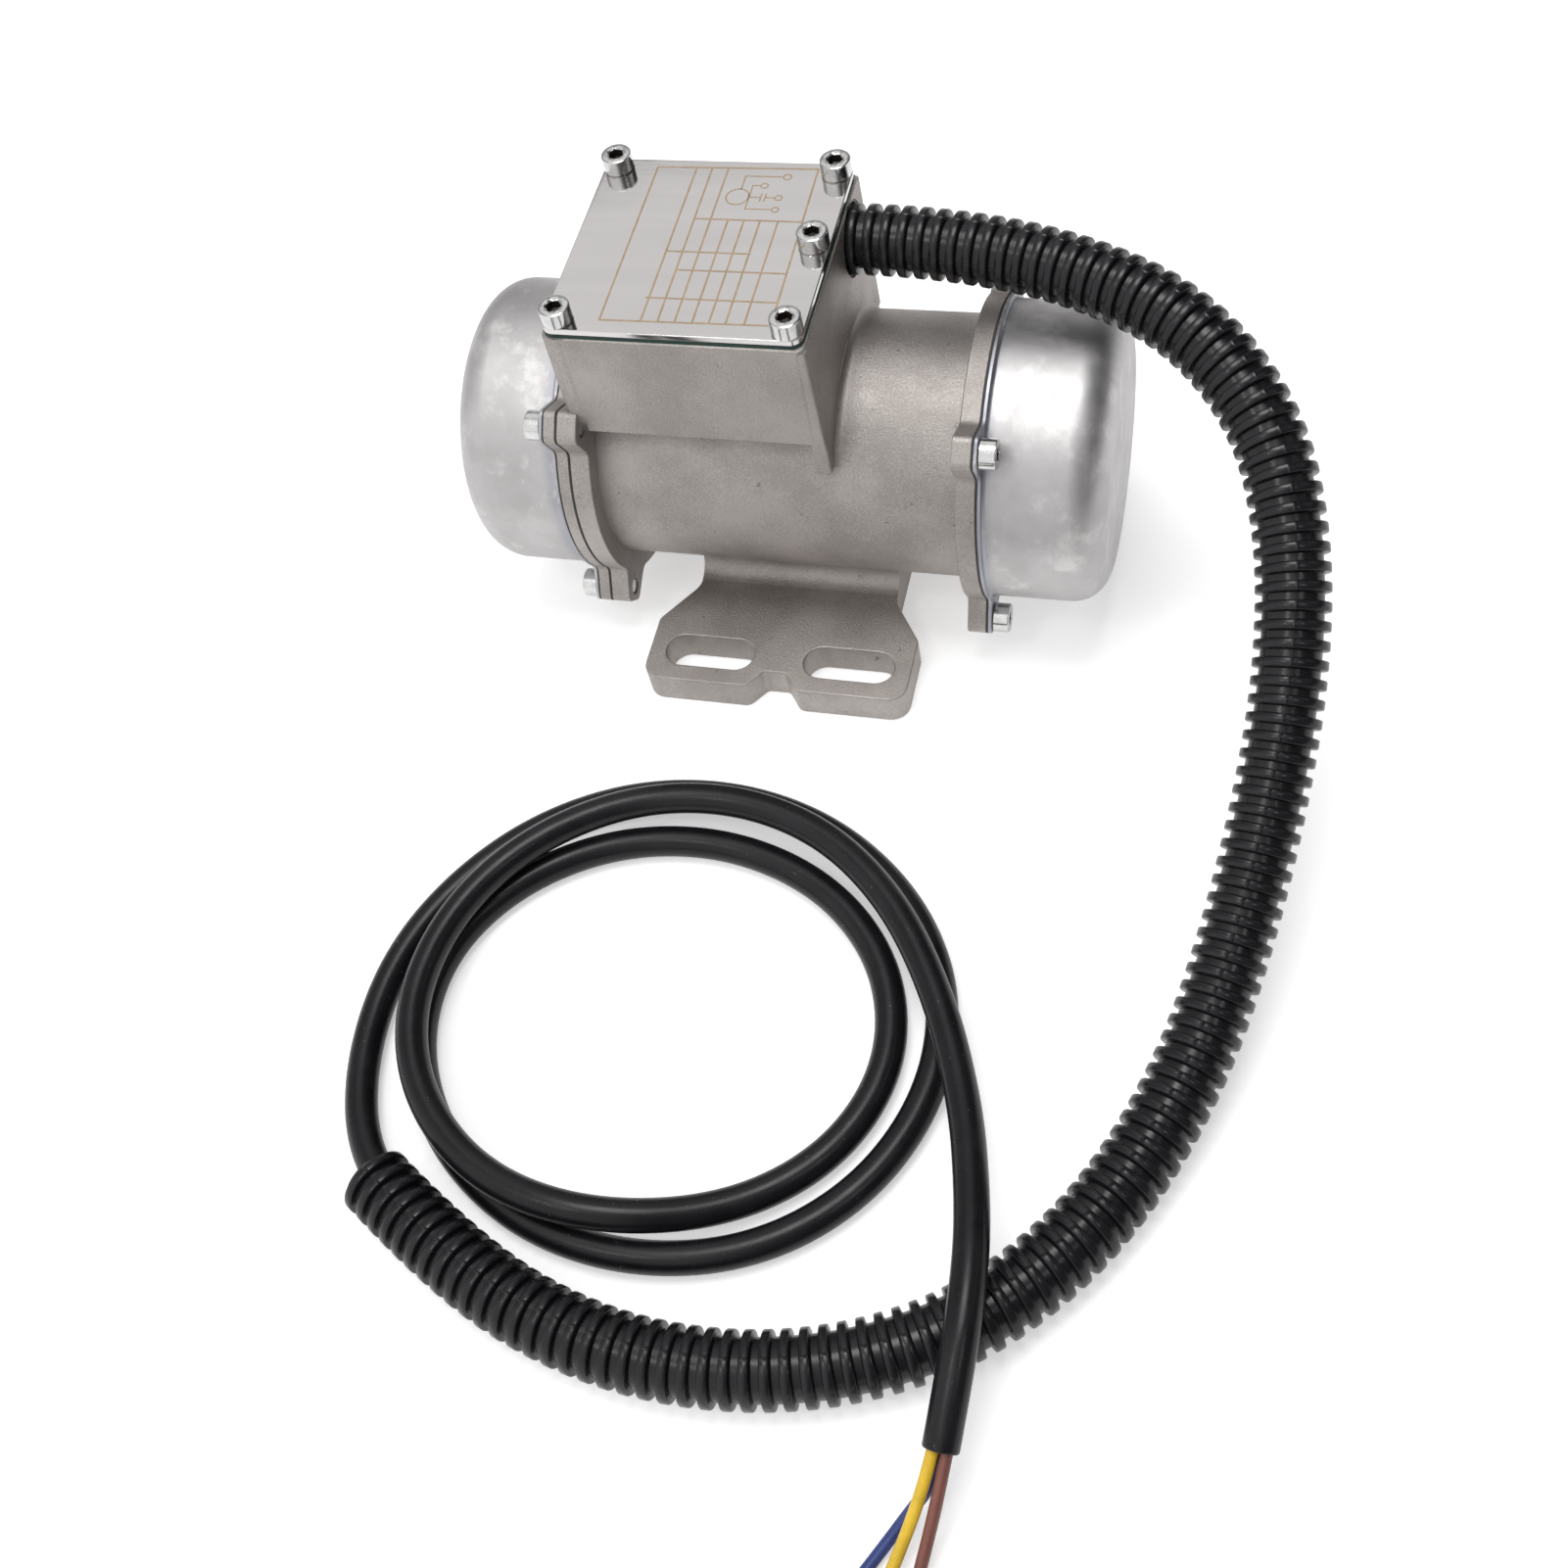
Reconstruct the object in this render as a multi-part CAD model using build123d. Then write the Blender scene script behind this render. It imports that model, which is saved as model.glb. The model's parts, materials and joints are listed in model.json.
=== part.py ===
from build123d import *
import math
import os

# Small foot-mounted vibration motor, in millimetres. The shaft runs along X, the foot stands on
# the plane Z = 0, and the origin is the middle of the foot. The cable leaves towards +X.
os.makedirs("parts", exist_ok=True)

# Driving dimensions of the round body
SHAFT_HEIGHT = 41.0
TUBE_RADIUS = 30.75
BORE_RADIUS = 27.4
FLANGE_RADIUS = 35.8
BOLT_CIRCLE_RADIUS = 40.0
LUG_ANGLES = [45.0, 135.0, 225.0, 315.0]
LUG_TIP_RADIUS = 43.8
LUG_ROOT_RADIUS = 31.0
LUG_ROOT_HALF = 7.5
LUG_TIP_HALF = 3.4
LUG_TIP_ROUND = 1.8
LUG_ROOT_FILLET = 3.0

# Faces across the shaft, from left to right
HOUSING_LEFT = -45.4
LEFT_FLANGE_INNER = -40.6
RIGHT_FLANGE_INNER = 45.4
HOUSING_RIGHT = 49.9
HOUSING_GASKET = 0.5
SHIELD_FLANGE = 2.6
COVER_GASKET = 0.4
COVER_FLANGE = 0.8
SHIELD_INNER = HOUSING_LEFT - HOUSING_GASKET
SHIELD_OUTER = SHIELD_INNER - SHIELD_FLANGE
COVER_FACE_LEFT = SHIELD_OUTER - COVER_GASKET
COVER_FACE_RIGHT = HOUSING_RIGHT + COVER_GASKET

# End covers
COVER_RADIUS = 34.55
COVER_LENGTH = 27.6
COVER_WALL = 1.2
COVER_CORNER = 8.5

# Cap screws, M4
SCREW_RADIUS = 2.0
SCREW_HOLE_RADIUS = 2.05
HEAD_RADIUS = 3.5
HEAD_HEIGHT = 4.0
HEAD_CHAMFER = 0.35
SCREW_RECESS = 0.4
SCREW_RELIEF = 1.6
LID_SCREW_LENGTH = 8.0

# Foot
FOOT_THICKNESS = 8.5
FOOT_WAIST_HALF = 25.5
FOOT_FLARE_Y = 23.0
FOOT_PAD_HALF = 33.3
FOOT_PAD_Y = 34.5
FOOT_HALF_WIDTH = 52.8
FOOT_NOTCH_OUTER_X = 6.5
FOOT_NOTCH_INNER_X = 2.8
FOOT_NOTCH_Y = 47.8
FOOT_FLARE_ROUND = 6.0
FOOT_SIDE_ROUND = 2.4
FOOT_CORNER_ROUND = 4.6
FOOT_NOTCH_ROUND = 1.6
FOOT_TOP_ROUND = 0.4
SLOT_X = 17.7
SLOT_Y = 43.5
SLOT_LENGTH = 22.6
SLOT_WIDTH = 9.2
SADDLE_FILLET = 4.4

# Terminal box, cast in one with the tube
BOX_LEFT = -43.6
BOX_RIGHT = 15.8
BOX_HALF_WIDTH = 28.5
BOX_UNDERSIDE = 68.6
BOX_RIM = 96.6
BOX_CORNER = 2.5
BOX_RIM_BEVEL = 0.5
BOX_WALL = 3.0
BOX_END_WALL = 2.4
BOX_FLOOR = 73.8
BOX_UNDER_FILLET = 2.5
FIN_HALF_WIDTH = 28.2
FIN_BOTTOM = 58.5
FIN_DRAFT = 1.1
FIN_ROUND = 1.2
FIN_FILLET = 2.0
LEAD_HOLE_X = -33.5
LEAD_HOLE_Y = -2.0
LEAD_HOLE_RADIUS = 3.6

# Lid, its seal and its screws
LID_LEFT = -43.1
LID_RIGHT = 15.3
LID_HALF_WIDTH = 28.0
LID_CORNER = 2.8
LID_THICKNESS = 1.5
LID_GASKET = 0.9
LID_EDGE_ROUND = 0.25
LID_UNDERSIDE = BOX_RIM + LID_GASKET
LID_TOP = LID_UNDERSIDE + LID_THICKNESS
LID_SCREW_PLACES = [(-39.6, -24.8), (-39.6, 24.8), (11.8, -24.8), (11.8, 24.8), (11.75, 1.44)]
BOSS_RADIUS = 4.0
BOSS_HOLE_DEPTH = 9.0

# Conduit bush in the box's end wall
EXIT_Y = 16.4
EXIT_Z = 88.0
BUSH_RADIUS = 9.05
BUSH_SPIGOT_RADIUS = 6.2
BUSH_LIP_RADIUS = 6.9
BUSH_FACE = 17.4
BUSH_SOCKET_BOTTOM = 14.8
BUSH_SHOULDER = 14.2
BUSH_LIP_FACE = 12.8
BUSH_INNER_FACE = 11.2
BUSH_CLEARANCE = 0.05

# Conduit, cable and cores
CONDUIT_RADIUS = 7.9
CONDUIT_BORE = 5.9
CABLE_RADIUS = 3.6
CORE_RADIUS = 1.225
STRAND_RADIUS = 0.75
STRIPPED_LENGTH = 7.0
CABLE_START = 11.6
ARC_SHARE = 0.45

# Bearings, 12 x 32 x 10
BEARING_BORE = 6.0
BEARING_OUTSIDE = 16.0
BEARING_WIDTH = 10.0
BEARING_LEFT = -46.9
BEARING_RIGHT = 38.4
INNER_RING_LAND = 8.8
OUTER_RING_LAND = 13.2
BALL_CIRCLE = 11.0
BALL_RADIUS = 2.95
GROOVE_RADIUS = 3.05
BALL_COUNT = 7
BALL_CAGE_HALF_WIDTH = 3.8
BALL_CAGE_INNER = 10.3
BALL_CAGE_OUTER = 11.6
BALL_POCKET_RADIUS = 3.02
HUB_RADIUS = 19.5
SHAFT_HOLE_RADIUS = 8.5
SPIGOT_DEPTH = 3.0

# Stator and rotor
STACK_LEFT = -21.0
STACK_RIGHT = 23.0
STATOR_RADIUS = 27.35
STATOR_BORE = 15.2
STATOR_SLOTS = 12
SLOT_BOTTOM = 23.6
SLOT_TOP = 17.6
STATOR_SLOT_WIDTH = 5.0
SLOT_MOUTH = 2.0
COIL_HEAD = 10.0
COIL_INNER = 17.0
COIL_OUTER = 25.6
COIL_ROUND = 2.5
ROTOR_RADIUS = 14.9
ROTOR_BARS = 17
ROTOR_BAR_CIRCLE = 12.6
ROTOR_BAR_RADIUS = 1.1
END_RING = 4.0
END_RING_INNER = 10.0
SHAFT_BODY_RADIUS = 7.5
SHAFT_END_RADIUS = 6.0
SHAFT_LEFT = -71.5
SHAFT_RIGHT = 73.0
SHAFT_CHAMFER = 0.8

# Eccentric weights
WEIGHT_RADIUS = 30.0
WEIGHT_THICKNESS = 8.5
WEIGHT_HUB_RADIUS = 12.0
WEIGHT_CORNER = 2.0
FIXED_WEIGHT_LEFT = -60.0
FIXED_WEIGHT_RIGHT = 52.5
LOOSE_WEIGHT_LEFT = -68.9
LOOSE_WEIGHT_RIGHT = 61.4
RUNNING_CLEARANCE = 0.03
EAR_HALF_WIDTH = 8.0
EAR_HEIGHT = 13.6
CLAMP_SLIT = 1.5
CLAMP_SCREW_HEIGHT = 9.8
KEY_WIDTH = 4.0
KEY_HEIGHT = 4.0
KEY_SEAT_RADIUS = 3.5
SPACER_RADIUS = 8.4
RETAINER_OUTER = 8.6
RETAINER_INNER = 5.2
RETAINER_THICKNESS = 1.0
RETAINER_GAP = 4.0
RETAINER_LEFT = -70.6
RETAINER_RIGHT = 70.2

# Parts inside the terminal box
CAPACITOR_LENGTH = 38.0
CAPACITOR_WIDTH = 16.0
CAPACITOR_HEIGHT = 18.0
CAPACITOR_CENTRE = (-12.0, -15.5)
CAPACITOR_ROUND = 1.5
POLE_PITCH = 7.0
POLE_COUNT = 4
BLOCK_DEPTH = 12.0
BLOCK_HEIGHT = 13.0
BLOCK_STEP = 4.0
BLOCK_LEFT = -30.0
BLOCK_FRONT = 1.0
WIRE_HOLE_RADIUS = 1.35
WIRE_HOLE_HEIGHT = 4.0
TERMINAL_SCREW_RADIUS = 1.9
EARTH_X = -35.0
EARTH_Y = 14.0
LEAD_RADIUS = 1.2

# Route of the conduit: out of the box, over the end cover, down to the ground and round the front
CONDUIT_ROUTE = [
    (14.8, 16.4, 88.0),
    (35.0, 16.4, 88.0),
    (66.0, 10.6, 87.5),
    (92.0, -1.2, 85.0),
    (110.6, -19.5, 75.5),
    (118.6, -41.0, 62.0),
    (120.8, -64.0, 46.4),
    (119.2, -87.5, 32.1),
    (115.8, -111.5, 20.5),
    (110.6, -135.5, 12.0),
    (101.8, -159.0, 7.9),
    (89.5, -180.5, 7.9),
    (72.4, -198.0, 7.9),
    (50.6, -209.5, 7.9),
    (25.5, -215.0, 7.9),
    (-1.5, -214.0, 7.9),
    (-31.0, -204.3, 7.9),
    (-56.4, -188.5, 7.9),
]

# Route of the cable after the conduit: a wide turn on the ground, a smaller one inside it, and a
# third that lies on both and ends across the conduit
CABLE_LOOPS = [
    (-50.5, -192.2, 7.4),
    (-64.0, -179.0, 5.2),
    (-71.4, -157.5, 3.6),
    (-71.3, -134.5, 3.6),
    (-62.5, -113.0, 3.6),
    (-47.0, -95.0, 3.6),
    (-25.5, -83.5, 3.6),
    (-0.5, -81.0, 3.6),
    (24.0, -88.0, 3.6),
    (44.5, -104.0, 3.6),
    (56.5, -125.5, 3.6),
    (57.5, -149.5, 3.6),
    (47.5, -172.5, 3.6),
    (28.0, -189.0, 3.6),
    (2.0, -195.3, 3.6),
    (-24.5, -191.0, 3.6),
    (-47.0, -176.0, 3.6),
    (-60.0, -155.0, 3.6),
    (-61.0, -131.5, 3.6),
    (-49.0, -111.0, 3.6),
    (-27.0, -97.0, 3.6),
    (-0.5, -94.0, 3.6),
    (25.0, -102.5, 3.6),
    (42.5, -120.5, 3.6),
    (48.0, -143.5, 3.6),
    (40.0, -165.5, 3.6),
    (21.0, -181.5, 4.6),
    (-5.0, -190.0, 10.9),
    (-31.0, -186.0, 10.9),
    (-51.0, -171.0, 10.9),
    (-61.0, -149.5, 10.9),
    (-59.0, -125.5, 10.9),
    (-46.5, -104.5, 10.9),
    (-25.5, -90.0, 10.9),
    (-1.5, -86.0, 10.9),
    (22.0, -92.0, 10.9),
    (41.5, -107.5, 10.9),
    (56.0, -129.5, 10.9),
    (66.0, -153.5, 12.6),
    (71.2, -173.5, 18.2),
    (73.8, -188.5, 21.2),
    (74.4, -205.5, 20.6),
    (73.4, -222.0, 13.8),
]

# Routes of the three cores from the cut end of the cable's sheath down to the ground
CORE_ROUTES = {
    "core_yellow": [
        (72.1, -222.4, 14.6),
        (71.2, -228.8, 11.7),
        (69.2, -236.0, 7.0),
        (66.8, -244.0, 3.0),
        (64.0, -252.5, 1.25),
        (61.0, -260.5, 1.25),
    ],
    "core_brown": [
        (74.7, -222.4, 14.4),
        (74.2, -228.8, 11.5),
        (73.2, -236.0, 6.8),
        (72.0, -244.0, 2.9),
        (70.6, -252.6, 1.25),
        (69.0, -261.0, 1.25),
    ],
    "core_blue": [
        (73.4, -221.6, 12.2),
        (72.7, -226.8, 9.4),
        (69.0, -231.8, 5.2),
        (64.8, -238.6, 2.2),
        (60.6, -246.0, 1.25),
        (56.5, -253.5, 1.25),
    ],
}


def axial(outline, start, end):
    """A flat outline about the shaft, drawn in Y and Z, drawn out from start to end along X."""
    return extrude(Plane.YZ.offset(start) * (Pos(0, SHAFT_HEIGHT) * outline), amount=end - start)


def disc(radius, start, end):
    """A round disc or bar on the shaft line."""
    return axial(Circle(radius), start, end)


def ring(outer, inner, start, end):
    """A plain ring on the shaft line."""
    return axial(Circle(outer) - Circle(inner), start, end)


def around(shape, count, radius=0.0, first=0.0):
    """Copies of a flat shape spaced evenly round a circle, the shape's own X pointing outwards."""
    places = [Rot(0, 0, first + 360.0 * i / count) * Pos(radius, 0) for i in range(count)]
    return [place * shape for place in places]


def lugged_outline(hole_radius):
    """Outline of a flange: a disc with four tapered lugs, each with its screw hole."""
    lug = make_face(Polyline(
        (LUG_ROOT_RADIUS, -LUG_ROOT_HALF),
        (LUG_TIP_RADIUS, -LUG_TIP_HALF),
        (LUG_TIP_RADIUS, LUG_TIP_HALF),
        (LUG_ROOT_RADIUS, LUG_ROOT_HALF),
        close=True,
    ))
    lug = fillet(lug.vertices().sort_by(Axis.X)[-2:], LUG_TIP_ROUND)
    hole = Circle(hole_radius)
    outline = Circle(FLANGE_RADIUS) + around(lug, len(LUG_ANGLES), first=LUG_ANGLES[0])
    roots = [v for v in outline.vertices() if abs(math.hypot(v.X, v.Y) - FLANGE_RADIUS) < 0.01]
    outline = fillet(roots, LUG_ROOT_FILLET)
    return outline - around(hole, len(LUG_ANGLES), BOLT_CIRCLE_RADIUS, LUG_ANGLES[0])


def foot_outline():
    """Plan of the foot: a waist under the tube and two broad pads with a notch between them."""
    quarter = [
        (FOOT_WAIST_HALF, FOOT_FLARE_Y),
        (FOOT_PAD_HALF, FOOT_PAD_Y),
        (FOOT_PAD_HALF, FOOT_HALF_WIDTH),
        (FOOT_NOTCH_OUTER_X, FOOT_HALF_WIDTH),
        (FOOT_NOTCH_INNER_X, FOOT_NOTCH_Y),
    ]
    back = quarter + [(-x, y) for x, y in reversed(quarter)]
    front = [(-x, -y) for x, y in quarter] + [(x, -y) for x, y in reversed(quarter)]
    plan = make_face(Polyline(*back, *front, close=True))

    def corners(x, y):
        return [v for v in plan.vertices() if abs(abs(v.X) - x) < 0.1 and abs(abs(v.Y) - y) < 0.1]

    plan = fillet(corners(FOOT_WAIST_HALF, FOOT_FLARE_Y), FOOT_FLARE_ROUND)
    plan = fillet(corners(FOOT_NOTCH_INNER_X, FOOT_NOTCH_Y), FOOT_NOTCH_ROUND)
    plan = fillet(corners(FOOT_PAD_HALF, FOOT_HALF_WIDTH), FOOT_CORNER_ROUND)
    plan = fillet(corners(FOOT_PAD_HALF, FOOT_PAD_Y), FOOT_SIDE_ROUND)
    plan = fillet(corners(FOOT_NOTCH_OUTER_X, FOOT_HALF_WIDTH), FOOT_SIDE_ROUND)
    return plan


def foot():
    """Foot plate with its four slots and the saddle that carries the tube."""
    plate = extrude(foot_outline(), amount=FOOT_THICKNESS)
    plate = fillet(plate.edges().group_by(Axis.Z)[-1], FOOT_TOP_ROUND)
    slot = extrude(SlotOverall(SLOT_LENGTH, SLOT_WIDTH), amount=FOOT_THICKNESS)
    for x in (-SLOT_X, SLOT_X):
        for y in (-SLOT_Y, SLOT_Y):
            plate -= Pos(x, y, 0) * slot
    fillet_drop = SHAFT_HEIGHT - FOOT_THICKNESS - SADDLE_FILLET
    reach = TUBE_RADIUS + SADDLE_FILLET
    fillet_y = math.sqrt(reach**2 - fillet_drop**2)
    touch_y = fillet_y * TUBE_RADIUS / reach
    touch_z = -fillet_drop * TUBE_RADIUS / reach
    base = FOOT_THICKNESS / 2 - SHAFT_HEIGHT
    saddle = make_face(Polyline(
        (-fillet_y, base), (fillet_y, base), (fillet_y, -fillet_drop), (touch_y, touch_z),
        (-touch_y, touch_z), (-fillet_y, -fillet_drop), close=True,
    ))
    for side in (-1, 1):
        saddle -= Pos(side * fillet_y, -fillet_drop) * Circle(SADDLE_FILLET)
    return plate + axial(saddle, -FOOT_WAIST_HALF, FOOT_WAIST_HALF)


def box_underside():
    """Metal that runs the box's floor into the tube with a small fillet along each side."""
    level = BOX_UNDERSIDE - SHAFT_HEIGHT
    rise = level - BOX_UNDER_FILLET
    reach = TUBE_RADIUS + BOX_UNDER_FILLET
    fillet_y = math.sqrt(reach**2 - rise**2)
    touch_y = fillet_y * TUBE_RADIUS / reach
    touch_z = rise * TUBE_RADIUS / reach
    outline = make_face(Polyline(
        (-fillet_y, level + 0.5), (fillet_y, level + 0.5), (fillet_y, rise), (touch_y, touch_z),
        (-touch_y, touch_z), (-fillet_y, rise), close=True,
    ))
    for side in (-1, 1):
        outline -= Pos(side * fillet_y, rise) * Circle(BOX_UNDER_FILLET)
    return axial(outline, LEFT_FLANGE_INNER, BOX_RIGHT)


def end_wall_fin():
    """Outside of the end wall: it thickens on its way down and ends in a fin in front and behind."""
    profile = make_face(Polyline(
        (BOX_RIGHT - BOX_END_WALL, FIN_BOTTOM), (BOX_RIGHT + FIN_DRAFT, FIN_BOTTOM),
        (BOX_RIGHT, BOX_RIM - 1), (BOX_RIGHT - 1, BOX_RIM - 1), (BOX_RIGHT - 1, BOX_UNDERSIDE + 1),
        (BOX_RIGHT - BOX_END_WALL, BOX_UNDERSIDE + 1), close=True,
    ))
    fin = extrude(Plane.XZ * profile, amount=FIN_HALF_WIDTH, both=True)
    tips = [e for e in fin.edges().filter_by(Axis.X).group_by(Axis.Z)[0]]
    fin = fillet(tips, FIN_ROUND)
    size = FIN_FILLET
    corner = make_face(Polyline(
        (-1.5, -1.0), (size, -1.0), (size, 0.0), (0.0, size), (-1.5, size), close=True))
    corner -= Pos(size, size) * Circle(size)
    share = (BOX_RIM - SHAFT_HEIGHT - TUBE_RADIUS) / (BOX_RIM - FIN_BOTTOM)
    corner = Pos(BOX_RIGHT + share * FIN_DRAFT, TUBE_RADIUS) * corner
    blend = Pos(0, 0, SHAFT_HEIGHT) * revolve(Plane.XZ * corner, Axis.X)
    height = BOX_RIM - FIN_BOTTOM
    limit = Pos(BOX_RIGHT, 0, FIN_BOTTOM + height / 2) * Box(20, 2 * FIN_HALF_WIDTH - 1, height)
    return fin + (blend & limit)


def box_plan(left, right, half_width, corner):
    """Plan of the terminal box, its lid or its hollow: a rectangle with round corners."""
    plan = RectangleRounded(right - left, 2 * half_width, corner)
    return Pos((left + right) / 2, 0) * plan


def bush_shape(clearance):
    """Conduit bush: square-topped head in the wall, round neck and a lip behind the wall."""
    head = Circle(BUSH_RADIUS + clearance)
    rim = BOX_RIM - EXIT_Z
    head += Pos(0, rim / 2) * Rectangle(2 * (BUSH_RADIUS + clearance), rim)
    head &= Pos(0, rim - BUSH_RADIUS - 1) * Rectangle(4 * BUSH_RADIUS, 2 * BUSH_RADIUS + 2)
    pieces = [
        (head, BUSH_SHOULDER - clearance, BUSH_FACE),
        (Circle(BUSH_SPIGOT_RADIUS + clearance), BUSH_LIP_FACE, BUSH_SHOULDER),
        (Circle(BUSH_LIP_RADIUS + clearance), BUSH_INNER_FACE - clearance, BUSH_LIP_FACE + clearance),
    ]
    solid = Part()
    for outline, start, end in pieces:
        solid += extrude(Plane.YZ.offset(start) * (Pos(EXIT_Y, EXIT_Z) * outline), amount=end - start)
    return solid


def terminal_box():
    """Open box with screw bosses, a notch for the conduit bush and a passage for the leads."""
    shell = extrude(box_plan(BOX_LEFT, BOX_RIGHT, BOX_HALF_WIDTH, BOX_CORNER), amount=BOX_RIM - BOX_UNDERSIDE)
    shell = chamfer(shell.edges().group_by(Axis.Z)[-1], BOX_RIM_BEVEL)
    shell = Pos(0, 0, BOX_UNDERSIDE) * shell
    hollow = box_plan(
        BOX_LEFT + BOX_WALL, BOX_RIGHT - BOX_END_WALL, BOX_HALF_WIDTH - BOX_WALL, BOX_CORNER / 2)
    shell -= Pos(0, 0, BOX_FLOOR) * extrude(hollow, amount=BOX_RIM)
    for x, y in LID_SCREW_PLACES:
        boss = Pos(x, y, BOX_FLOOR) * extrude(Circle(BOSS_RADIUS), amount=BOX_RIM - BOX_FLOOR)
        shell += boss & Pos(0, 0, BOX_UNDERSIDE) * extrude(
            box_plan(BOX_LEFT, BOX_RIGHT, BOX_HALF_WIDTH, BOX_CORNER), amount=BOX_RIM)
    for x, y in LID_SCREW_PLACES:
        depth = BOSS_HOLE_DEPTH
        shell -= Pos(x, y, BOX_RIM - depth) * extrude(Circle(SCREW_HOLE_RADIUS), amount=depth + 1)
    return shell + end_wall_fin() + box_underside()


def motor_housing():
    """One casting: tube, both flanges, right-hand bearing hub, foot and terminal box."""
    body = disc(TUBE_RADIUS, HOUSING_LEFT, HOUSING_RIGHT)
    body += axial(lugged_outline(SCREW_HOLE_RADIUS), HOUSING_LEFT, LEFT_FLANGE_INNER)
    body += axial(lugged_outline(SCREW_HOLE_RADIUS), RIGHT_FLANGE_INNER, HOUSING_RIGHT)
    body += foot()
    body += terminal_box()
    body -= disc(BORE_RADIUS, HOUSING_LEFT, RIGHT_FLANGE_INNER)
    body += disc(HUB_RADIUS, BEARING_RIGHT, RIGHT_FLANGE_INNER)
    body -= disc(BEARING_OUTSIDE, BEARING_RIGHT, BEARING_RIGHT + BEARING_WIDTH)
    body -= disc(SHAFT_HOLE_RADIUS, BEARING_RIGHT, HOUSING_RIGHT)
    passage = extrude(Circle(LEAD_HOLE_RADIUS), amount=BOX_FLOOR - SHAFT_HEIGHT + 1)
    body -= Pos(LEAD_HOLE_X, LEAD_HOLE_Y, SHAFT_HEIGHT) * passage
    for hole in around(Circle(SCREW_HOLE_RADIUS), len(LUG_ANGLES), BOLT_CIRCLE_RADIUS, LUG_ANGLES[0]):
        body -= axial(hole, HOUSING_LEFT, LEFT_FLANGE_INNER + SCREW_RELIEF)
    return body - bush_shape(BUSH_CLEARANCE)


def end_shield():
    """Loose left-hand shield: lugged flange, centring spigot and bearing hub."""
    plate = axial(lugged_outline(SCREW_HOLE_RADIUS), SHIELD_OUTER, SHIELD_INNER)
    spigot_end = SHIELD_INNER + SPIGOT_DEPTH
    plate += ring(BORE_RADIUS - 0.05, BORE_RADIUS - 3.0, SHIELD_INNER, spigot_end)
    plate += disc(HUB_RADIUS, SHIELD_INNER, BEARING_LEFT + BEARING_WIDTH)
    plate -= disc(BEARING_OUTSIDE, BEARING_LEFT, BEARING_LEFT + BEARING_WIDTH)
    return plate - disc(SHAFT_HOLE_RADIUS, SHIELD_OUTER, BEARING_LEFT)


def flat_gasket(opening, start, thickness):
    """Flat seal with the flange's outline and a round opening."""
    return axial(lugged_outline(SCREW_HOLE_RADIUS + 0.15) - Circle(opening), start, start + thickness)


def end_cover():
    """Deep-drawn cup with a thin lugged flange, its flange face at X = 0 and its end towards +X."""
    outside = disc(COVER_RADIUS, 0, COVER_LENGTH)
    outside = fillet(outside.edges().group_by(Axis.X)[-1], COVER_CORNER)
    inside = disc(COVER_RADIUS - COVER_WALL, 0, COVER_LENGTH - COVER_WALL)
    inside = fillet(inside.edges().group_by(Axis.X)[-1], COVER_CORNER - COVER_WALL)
    return outside + axial(lugged_outline(SCREW_HOLE_RADIUS), 0, COVER_FLANGE) - inside


def cap_screw(length):
    """Cap screw standing on its head's underside at Z = 0, with the shank below."""
    head = extrude(Circle(HEAD_RADIUS), amount=HEAD_HEIGHT)
    head = chamfer(head.edges().group_by(Axis.Z)[-1], HEAD_CHAMFER)
    return head + Pos(0, 0, -length) * extrude(Circle(SCREW_RADIUS), amount=length)


def cover_screws(seat, tip):
    """Four cap screws that hold an end cover, from the seat of their heads to their tips."""
    screw = cap_screw(abs(seat - tip))
    turn = Rot(0, 90, 0) if seat > tip else Rot(0, -90, 0)
    screws = []
    for angle in LUG_ANGLES:
        y = BOLT_CIRCLE_RADIUS * math.cos(math.radians(angle))
        z = BOLT_CIRCLE_RADIUS * math.sin(math.radians(angle))
        screws.append(Pos(seat, y, SHAFT_HEIGHT + z) * turn * screw)
    return Compound(screws)


def lid():
    """Flat lid with a softened top edge and five screw holes."""
    plate = extrude(box_plan(LID_LEFT, LID_RIGHT, LID_HALF_WIDTH, LID_CORNER), amount=LID_THICKNESS)
    plate = fillet(plate.edges().group_by(Axis.Z)[-1], LID_EDGE_ROUND)
    plate = Pos(0, 0, LID_UNDERSIDE) * plate
    for x, y in LID_SCREW_PLACES:
        hole = extrude(Circle(SCREW_HOLE_RADIUS), amount=LID_THICKNESS)
        plate -= Pos(x, y, LID_UNDERSIDE) * hole
    return plate


def lid_gasket():
    """Seal under the lid, as wide as the box wall and its bosses."""
    plan = box_plan(LID_LEFT, LID_RIGHT, LID_HALF_WIDTH, LID_CORNER)
    opening = box_plan(
        BOX_LEFT + BOX_WALL, BOX_RIGHT - BOX_END_WALL, BOX_HALF_WIDTH - BOX_WALL, BOX_CORNER / 2)
    for x, y in LID_SCREW_PLACES:
        opening -= Pos(x, y) * Circle(BOSS_RADIUS)
    plan -= opening
    for x, y in LID_SCREW_PLACES:
        plan -= Pos(x, y) * Circle(SCREW_HOLE_RADIUS + 0.15)
    return Pos(0, 0, BOX_RIM) * extrude(plan, amount=LID_GASKET)


def conduit_bush():
    """The bush with its socket for the conduit and a close hole for the cable."""
    place = Pos(EXIT_Y, EXIT_Z)
    socket = Plane.YZ.offset(BUSH_SOCKET_BOTTOM) * (place * Circle(CONDUIT_RADIUS + BUSH_CLEARANCE))
    bore = Plane.YZ.offset(BUSH_INNER_FACE) * (place * Circle(CABLE_RADIUS + 0.1))
    bush = bush_shape(0.0) - extrude(socket, amount=BUSH_FACE - BUSH_SOCKET_BOTTOM)
    return bush - extrude(bore, amount=BUSH_FACE - BUSH_INNER_FACE)


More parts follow.
